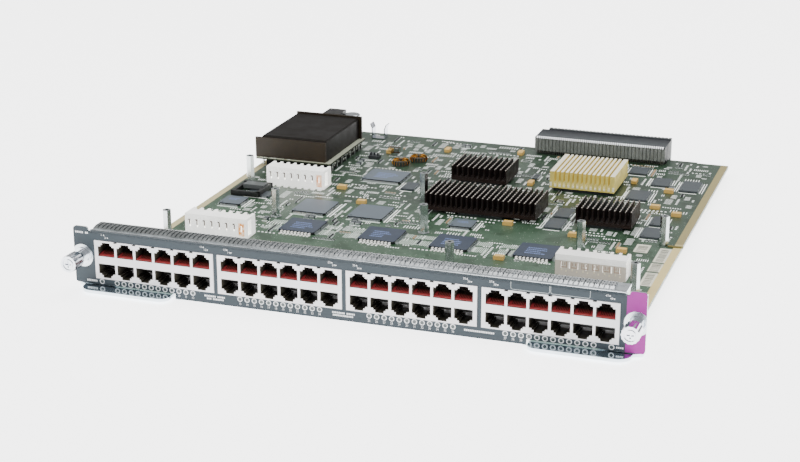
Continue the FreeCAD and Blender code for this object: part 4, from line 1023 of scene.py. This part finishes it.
class CARD_OT_chip_marks(bpy.types.Operator):
    """Faint printed rows and a corner dot on the packages"""
    bl_idname = "card.chip_marks"
    bl_label = "Chip marks"

    def execute(self, context):
        chance = random.Random(9)
        marks = []
        dots = []
        for node in ("quad_packs", "low_packs"):
            for low, high in solids(node):
                size = high - low
                top = high.z + 0.02
                rows = 4 if size.x > 20 else 2
                if node == "low_packs" or FRONT_ROW_END < low.y < 260 and size.x > 18:
                    rows = 0
                for row in range(rows):
                    y = low.y + size.y * (0.66 - 0.13 * row)
                    stop = low.x + size.x * chance.uniform(0.55, 0.8)
                    for x, width in dashes(chance, low.x + size.x * 0.24, stop, (0.6, 1.4), 0.4):
                        marks.append(at(x, y, top, size=(width, size.y * 0.05, 1)))
                dots.append(at(low.x + 2.2, low.y + 2.2, top - 0.02))
        ink = printed("chip_ink", srgb(128, 150, 206))
        patches(marks, "chip_marks", ink)
        dimple = chip_top("chip_dimple", srgb(40, 44, 48))
        piece(scatter(rod(0.8, 0.03, 14), dots), "chip_dots", dimple)
        return {"FINISHED"}


class CARD_OT_package_lines(bpy.types.Operator):
    """Bright feet, fan-out traces and printed lines round the packages, each with a painted glow"""
    bl_idname = "card.package_lines"
    bl_label = "Package lines"

    def execute(self, context):
        chance = random.Random(21)
        bright = []
        pale = []
        feet = []
        for low, high in solids("quad_packs"):
            middle = (low + high) / 2
            if low.y < FRONT_ROW_END:
                for x in spaced(9, 2.7, middle.x):
                    feet.append(at(x, low.y - 0.9, BOARD_TOP + 0.5, -0.2, (1.0, 2.4, 0.9)))
                    feet.append(at(x + 0.35, low.y - 3.4, BOARD_TOP, -0.35, (1.1, 3.4, 0.5)))
                for side, edge in ((-1, low.x), (1, high.x)):
                    for step in range(8):
                        x = edge + side * (2.6 + 1.4 * step)
                        for y, most in ((low.y + 8.5, 12.0), (low.y + 21.0, 8.5)):
                            long = most * chance.uniform(0.75, 1.0)
                            pale.append(at(x, y, BOARD_TOP, size=(0.75, long, 1)))
            elif low.y < 210:
                for step in (2.3, 4.4):
                    bright.append(at(high.x + step, middle.y, BOARD_TOP, size=(0.9, high.y - low.y + 2, 1)))
                pale.append(at(middle.x, low.y - 3.0, BOARD_TOP, size=(high.x - low.x, 2.4, 1)))
            else:
                pale.append(at(middle.x, low.y - 2.6, BOARD_TOP, size=(high.x - low.x, 1.0, 1)))
        for low, high in solids("low_packs"):
            middle = (low + high) / 2
            for x in (low.x - 3.6, low.x - 1.9, high.x + 2.0, high.x + 3.8):
                bright.append(at(x, middle.y, BOARD_TOP, size=(0.6, high.y - low.y + 1, 1)))
            bright.append(at(middle.x, low.y - 2.4, BOARD_TOP, size=(high.x - low.x, 1.1, 1)))
        # Painted glow on the printed lines.
        ink = printed("line_ink", srgb(250, 254, 248), 0.6)
        patches(bright, "package_lines", ink, 0.05)
        # Painted glow on the fan-out traces.
        trace = printed("fan_out", srgb(206, 220, 208), 0.12)
        patches(pale, "fan_out_traces", trace, 0.05)
        # Painted glow on the feet.
        blocks(feet, "package_feet", bright_tin("foot_tin", (250, 250, 244), 0.25, 0.05))
        return {"FINISHED"}


class CARD_OT_header_marks(bpy.types.Operator):
    """Dark slots in the left headers, and painted shade in the right one's pockets, with bright tips"""
    bl_idname = "card.header_marks"
    bl_label = "Header marks"

    def execute(self, context):
        slots = []
        for low, high in HEADERS[:2]:
            pitch = (high.x - low.x - 1.5) / 8
            for x in spaced(8, pitch, (low.x + high.x) / 2)[:-1]:
                for wide, u, z, tall in ((1.0, 0, 9.6, 3.4), (1.7, -0.5, 11.6, 1.0)):
                    slots.append(self.front(x + u, z, wide, tall, low))
        shade = Finish("slot_shade", srgb(120, 104, 92), 0.6).varied(1.5, 0.3)
        patches(slots, "header_slots", shade)
        low, high = HEADERS[2]
        pockets = []
        tips = []
        for x in spaced(6, 7.4, (low.x + high.x) / 2):
            for u, z, wide, tall in ((-2.1, 9.0, 0.5, 4.4), (2.1, 9.0, 0.5, 4.4), (0, 7.2, 3.2, 0.6),
                                     (-1.0, 9.6, 0.5, 2.0), (1.0, 9.6, 0.5, 2.0)):
                pockets.append(self.front(x + u, z, wide, tall, low))
            tips.append(self.front(x - 1.2, 5.4, 1.0, 1.6, low))
            tips.append(self.front(x + 1.9, 4.6, 0.9, 1.4, low))
        # Painted shade in the pockets of the right header.
        pocket_shade = Finish("pocket_brown", srgb(176, 140, 116), 0.6).varied(1.5, 0.2)
        patches(pockets, "header_pockets", pocket_shade)
        amber = Finish("tip_amber", srgb(255, 236, 206), 0.5).varied(1.5, 0.1)
        patches(tips, "header_tips", amber)
        return {"FINISHED"}

    def front(self, x, z, wide, tall, low):
        """Place on a header's front face, so high over the board."""
        return facing(x, BOARD_TOP + z, (wide, tall, 1), low.y - INK_LIFT)


class CARD_OT_module_underside(bpy.types.Operator):
    """Parts hanging under the converter's board, near-black as painted shade, and its bright solder points
    """
    bl_idname = "card.module_underside"
    bl_label = "Module underside"

    def execute(self, context):
        chance = random.Random(8)
        low, high = where("module_board")
        hung = cuboid((low.x + 6, low.y + 7, BOARD_TOP + 0.6), (high.x - 1.6, high.y - 4, low.z))
        # Painted shade: the parts under the converter's board are near-black.
        dark = Finish("module_dark", srgb(12, 14, 11), 0.6, specular_ior_level=0.15).varied(6.0, 0.3)
        piece(hung, "module_parts", dark)
        points = []
        for _ in range(46):
            y = chance.uniform(low.y + 8, high.y - 5)
            z = chance.uniform(BOARD_TOP + 2.0, low.z - 0.8)
            size = (0.3, chance.uniform(0.6, 1.6), chance.uniform(0.5, 1.1))
            points.append(at(high.x - 1.5, y, z, size=size))
        for _ in range(12):
            x = chance.uniform(low.x + 4, low.x + 30)
            points.append(at(x, low.y + 0.2, high.z - 0.1, size=(chance.uniform(0.8, 2.4), 0.7, 0.3)))
        tin = Finish("solder_bright", srgb(222, 226, 214), 0.4).varied(2.0, 0.1)
        blocks(points, "module_solder", tin)
        return {"FINISHED"}


# --- Small parts of the board ---------------------------------------------------------------
def taken_boxes():
    """Footprints on the board that small parts keep clear of."""
    room = 1.2
    boxes = []
    for node in NODES:
        if node == "circuit_board" or where(node)[1].y < 40:
            continue
        for low, high in solids(node):
            if high.z > BOARD_TOP + 0.1 and low.z < BOARD_TOP + 2:
                boxes.append((low.x - room, low.y - room, high.x + room, high.y + room))
    return boxes + list(CALM_AREAS)


class Floorplan:
    """Which places of the board are still free."""

    def __init__(self, boxes):
        self.boxes = list(boxes)

    def claim(self, low_x, low_y, high_x, high_y):
        if low_x < BOARD_LOW.x + 9 or high_x > BOARD_HIGH.x - 9 or high_y > BOARD_HIGH.y - 5:
            return False
        for box in self.boxes:
            if low_x < box[2] and high_x > box[0] and low_y < box[3] and high_y > box[1]:
                return False
        self.boxes.append((low_x, low_y, high_x, high_y))
        return True


class CARD_OT_small_parts(bpy.types.Operator):
    """Rows of chip resistors, capacitors, pads and printed outlines over the board"""
    bl_idname = "card.small_parts"
    bl_label = "Small parts"

    def execute(self, context):
        settings = context.scene.card_board
        chance = random.Random(settings.seed)
        plan = Floorplan(taken_boxes())
        kinds = list(SMALL_PARTS)
        shares = [row[0] for row in SMALL_PARTS.values()]
        bodies = {"dark": [], "tan": [], "array": []}
        tinned = []
        pads = []
        prints = []
        for _ in range(settings.clusters):
            kind = chance.choices(kinds, shares)[0]
            wide, long, gap = SMALL_PARTS[kind][1:]
            x = chance.uniform(BOARD_LOW.x + 10, BOARD_HIGH.x - 12)
            y = chance.uniform(33, BOARD_HIGH.y - 8)
            upright = chance.random() < 0.5
            count = chance.randint(2, 9)
            if kind in ("array", "outline"):
                count = chance.randint(1, 3)
            pitch = wide + gap
            reach = (count * pitch, long + 0.8)
            if not upright:
                reach = reach[::-1]
            if not plan.claim(x, y, x + reach[0], y + reach[1]):
                continue
            for i in range(count):
                along = (i + 0.5) * pitch
                spot = (x + along, y + reach[1] / 2) if upright else (x + reach[0] / 2, y + along)
                turn = 0.0 if upright else math.pi / 2
                place = at(*spot, BOARD_TOP, turn)
                if kind in bodies:
                    bodies[kind].append(place @ at(0, 0, 0, size=(wide, long * 0.7, wide * 0.6)))
                    for end in (-1, 1):
                        tip = place @ at(0, end * long * 0.42, 0)
                        cap = (wide * 1.02, long * 0.16, wide * 0.62)
                        tinned.append(tip @ at(0, 0, 0, size=cap))
                        pads.append(tip @ at(0, 0, 0, size=(wide * 1.25, long * 0.34, 1)))
                elif kind == "outline":
                    for end in (-1, 1):
                        prints.append(place @ at(end * wide / 2, 0, 0, size=(0.3, long, 1)))
                        prints.append(place @ at(0, end * long / 2, 0, size=(wide, 0.3, 1)))
                elif kind == "print":
                    prints.append(place @ at(0, 0, 0, size=(wide * 1.3, long, 1)))
                else:
                    pads.append(place @ at(0, 0, 0, size=(wide, long, 1)))
        dark = plastic("resistor_black", srgb(38, 40, 44), 0.4)
        tan = plastic("ceramic_tan", srgb(186, 156, 122), 0.45)
        grey = plastic("array_grey", srgb(70, 76, 80), 0.4)
        blocks(bodies["dark"], "chip_resistors", dark)
        blocks(bodies["tan"], "chip_ceramics", tan)
        blocks(bodies["array"], "resistor_arrays", grey)
        blocks(tinned, "tinned_ends", plated("cap_tin", srgb(212, 218, 218), 0.32))
        # Painted glow on the pads.
        solder = bright_tin("tinned_pads", (246, 252, 246), 0.6, 0.1)
        patches(pads, "solder_pads", solder, INK_LIFT)
        # Painted glow on the print.
        ink = printed("board_ink", srgb(250, 254, 250), 0.6)
        patches(prints, "board_print", ink, INK_LIFT)
        return {"FINISHED"}


class CARD_OT_edge_strips(bpy.types.Operator):
    """Bare guide strips along the board's sides"""
    bl_idname = "card.edge_strips"
    bl_label = "Edge strips"

    def execute(self, context):
        strips = []
        for side, rear in ((-1, BOARD_HIGH.y), (1, BOARD_HIGH.y - 3)):
            middle = side * (BOARD_HIGH.x - STRIP_WIDTH / 2)
            size = (STRIP_WIDTH, rear - STRIP_START, 1)
            strips.append(at(middle, (STRIP_START + rear) / 2, BOARD_TOP, size=size))
        patches(strips, "edge_strips", bare_laminate(), 0.03)
        tab = bar(11.0, 2.2, 0.9)
        bmesh.ops.transform(tab, matrix=at(BOARD_HIGH.x - 4.5, TAB_PLACE, BOARD_TOP), verts=tab.verts)
        piece(tab, "strip_tab", plastic("tab_olive", srgb(112, 104, 52), 0.5))
        return {"FINISHED"}


class CARD_OT_labels(bpy.types.Operator):
    """Pale stickers with plain rows of marks"""
    bl_idname = "card.labels"
    bl_label = "Labels"

    def execute(self, context):
        sticker = Finish("sticker", srgb(226, 224, 206), 0.6).varied(4.0, 0.05)
        sticker.bump(sticker.noise(0.6), 0.01)
        chance = random.Random(3)
        places = []
        marks = []
        for x, y, wide, deep, mark_width, rows in STICKERS:
            places.append(at(x, y, BOARD_TOP, size=(wide, deep, 0.1)))
            start = y - rows / 2
            while start < y + rows / 2:
                length = chance.uniform(0.4, 1.2)
                marks.append(at(x, start, BOARD_TOP + 0.12, size=(mark_width, length, 1)))
                start += length + chance.uniform(0.6, 1.6)
        blocks(places, "stickers", sticker)
        ink = printed("sticker_ink", srgb(92, 92, 74))
        patches(marks, "sticker_marks", ink)
        return {"FINISHED"}


class CARD_OT_toroid_windings(bpy.types.Operator):
    """Copper wire wound round the two ring cores, and an open coil beside them"""
    bl_idname = "card.toroid_windings"
    bl_label = "Toroid windings"

    def execute(self, context):
        turns = []
        for low, high in solids("toroids"):
            middle = (low + high) / 2
            for i in range(CORE_TURNS):
                angle = i * 2 * math.pi / CORE_TURNS
                turns.append(at(middle.x, middle.y, middle.z + 0.3, angle) @ at(4.6, 0, 0))
        wire = bmesh.new()
        bmesh.ops.create_circle(wire, segments=6, radius=0.45,
                                matrix=at(2.5, 0, 0) @ Matrix.Rotation(math.pi / 2, 4, "X"))
        profile = wire.verts[:] + wire.edges[:]
        bmesh.ops.spin(wire, geom=profile, axis=(0, 1, 0), cent=(0, 0, 0), dvec=(0, 0, 0),
                       angle=2 * math.pi, steps=12, use_merge=True)
        bmesh.ops.recalc_face_normals(wire, faces=wire.faces)
        x, y = COIL_PLACE
        for i in range(COIL_TURNS):
            turns.append(at(x + COIL_PITCH * i, y, BOARD_TOP + 3.2, math.pi / 2))
        copper = Finish("winding_copper", srgb(240, 178, 78), 0.3, 0.5).varied(3.0, 0.12)
        piece(scatter(wire, turns), "toroid_windings", copper, smooth=True)
        return {"FINISHED"}


class CARD_OT_memory_stack(bpy.types.Operator):
    """Socket with a memory package in it, by the left edge"""
    bl_idname = "card.memory_stack"
    bl_label = "Memory stack"

    def execute(self, context):
        black = plastic("socket_black", srgb(24, 27, 26), 0.45)
        socket = merge([self.block(*rail) for rail in MEMORY_RAILS])
        piece(socket, "memory_socket", black)
        grey = plastic("memory_grey", srgb(88, 92, 92), 0.45)
        piece(self.block(*MEMORY_PACKAGE), "memory_package", grey)
        return {"FINISHED"}

    def block(self, low, high):
        """A block between two corners, their heights taken from the board's top."""
        lift = Vector((0, 0, BOARD_TOP))
        return cuboid(Vector(low) + lift, Vector(high) + lift)


class CARD_OT_connector_contacts(bpy.types.Operator):
    """Bright contact ends with a painted glow along the backplane connector's front edge, a strip of painted
    shade round them, and its foot pins, dimmed as painted shade
    """
    bl_idname = "card.connector_contacts"
    bl_label = "Connector contacts"

    def execute(self, context):
        low, high = where("connector_wafers")
        pitch = (high.x - low.x - 2.2) / WAFER_CONTACTS
        columns = spaced(WAFER_CONTACTS, pitch, (low.x + high.x) / 2)
        caps = [at(x, low.y + 0.75, high.z - 0.9, size=(1.0, 1.9, 1.3)) for x in columns]
        # Painted glow on the contact ends.
        tin = bright_tin("wafer_tin", (250, 252, 255), 1.2, 0.05)
        blocks(caps, "wafer_contacts", tin)
        # Painted shade: a dark strip round the contact ends.
        shade = Finish("wafer_shade", srgb(30, 33, 35), 0.6).varied(3.0, 0.1)
        strip = cuboid((low.x + 0.4, low.y - 0.05, high.z - 1.3), (high.x - 0.4, low.y + 2.0, high.z + 0.06))
        piece(strip, "wafer_joint", shade)
        pins = [at(x, low.y + 2.4 + 1.6 * row, BOARD_TOP, size=(0.5, 0.5, 3.6))
                for x in columns for row in range(2)]
        # Painted shade: the foot pins are dimmed under the connector.
        pin_shade_tin = plated("wafer_pin_tin", srgb(120, 122, 118), 0.4)
        blocks(pins, "wafer_pins", pin_shade_tin)
        return {"FINISHED"}


# --- Stage ---------------------------------------------------------------------------------
class CARD_OT_stage(bpy.types.Operator):
    """Pale floor, soft studio light and the camera"""
    bl_idname = "card.stage"
    bl_label = "Stage"

    def execute(self, context):
        scene = context.scene
        floor_shape = bmesh.new()
        bmesh.ops.create_grid(floor_shape, x_segments=1, y_segments=1, size=6.0)
        mesh = bpy.data.meshes.new("floor")
        floor_shape.to_mesh(mesh)
        floor_shape.free()
        floor = bpy.data.objects.new("floor", mesh)
        white = Finish("floor_white", (0.92, 0.92, 0.92), 0.9).varied(400.0, 0.01, 0.02)
        white.glow((1.0, 1.0, 1.0), 3.4)
        mesh.materials.append(white.material)
        scene.collection.objects.link(floor)
        world = bpy.data.worlds.new("studio")
        world.use_nodes = True
        back = world.node_tree.nodes["Background"]
        back.inputs[0].default_value = (1.0, 1.0, 1.0, 1.0)
        back.inputs[1].default_value = 0.6
        scene.world = world
        for name, spot, aim, size, power in (
            ("key", (-1.1, -1.3, 1.7), (0, 0, 0), 1.4, 26.0),
            ("top", (0.3, 0.5, 1.8), (0, 0.1, 0), 1.6, 31.0),
            ("fill", (1.6, -0.9, 0.9), (0, 0, 0), 1.2, 7.0),
        ):
            light = bpy.data.lights.new(name, "AREA")
            light.size = size
            light.energy = power
            lamp = bpy.data.objects.new(name, light)
            lamp.location = spot
            lamp.rotation_euler = (Vector(aim) - Vector(spot)).to_track_quat("-Z", "Y").to_euler()
            scene.collection.objects.link(lamp)
        camera = bpy.data.cameras.new("camera")
        camera.lens = 75.61
        camera.sensor_width = 36.0
        camera.clip_start = 0.01
        camera.clip_end = 50.0
        holder = bpy.data.objects.new("camera", camera)
        level = math.cos(CAMERA_ELEVATION)
        back_way = Vector((
            math.sin(CAMERA_AZIMUTH) * level, -math.cos(CAMERA_AZIMUTH) * level,
            math.sin(CAMERA_ELEVATION),
        ))
        holder.location = CAMERA_PLACE
        turn = (-back_way).to_track_quat("-Z", "Y").to_matrix().to_4x4()
        turn = turn @ Matrix.Rotation(CAMERA_ROLL, 4, "Z")
        holder.rotation_euler = turn.to_euler()
        scene.collection.objects.link(holder)
        scene.camera = holder
        return {"FINISHED"}


OPERATORS = (
    CARD_OT_cad_finishes,
    CARD_OT_screw_springs,
    CARD_OT_port_contacts,
    CARD_OT_light_rings,
    CARD_OT_panel_print,
    CARD_OT_chip_leads,
    CARD_OT_chip_marks,
    CARD_OT_package_lines,
    CARD_OT_header_marks,
    CARD_OT_module_underside,
    CARD_OT_small_parts,
    CARD_OT_edge_strips,
    CARD_OT_labels,
    CARD_OT_toroid_windings,
    CARD_OT_memory_stack,
    CARD_OT_connector_contacts,
    CARD_OT_stage,
)
SETTINGS = {"card_panel": PanelSettings, "card_board": BoardSettings, "card_parts": PartSettings}


class CARD_PT_line_card(bpy.types.Panel):
    """Lists the settings and the pieces"""
    bl_idname = "CARD_PT_line_card"
    bl_label = "Line card"
    bl_space_type = "VIEW_3D"
    bl_region_type = "UI"
    bl_category = "Line card"

    def draw(self, context):
        for holder, group in SETTINGS.items():
            box = self.layout.box()
            for name in group.__annotations__:
                box.prop(getattr(context.scene, holder), name)
        for operator in OPERATORS:
            self.layout.operator(operator.bl_idname)


CLASSES = (*SETTINGS.values(), *OPERATORS, CARD_PT_line_card)


def register():
    for cls in CLASSES:
        bpy.utils.register_class(cls)
    for holder, group in SETTINGS.items():
        setattr(bpy.types.Scene, holder, PointerProperty(type=group))


def unregister():
    for holder in SETTINGS:
        delattr(bpy.types.Scene, holder)
    for cls in reversed(CLASSES):
        bpy.utils.unregister_class(cls)


def main():
    register()
    for operator in OPERATORS:
        group, name = operator.bl_idname.split(".")
        getattr(getattr(bpy.ops, group), name)()


if __name__ == "__main__":
    main()
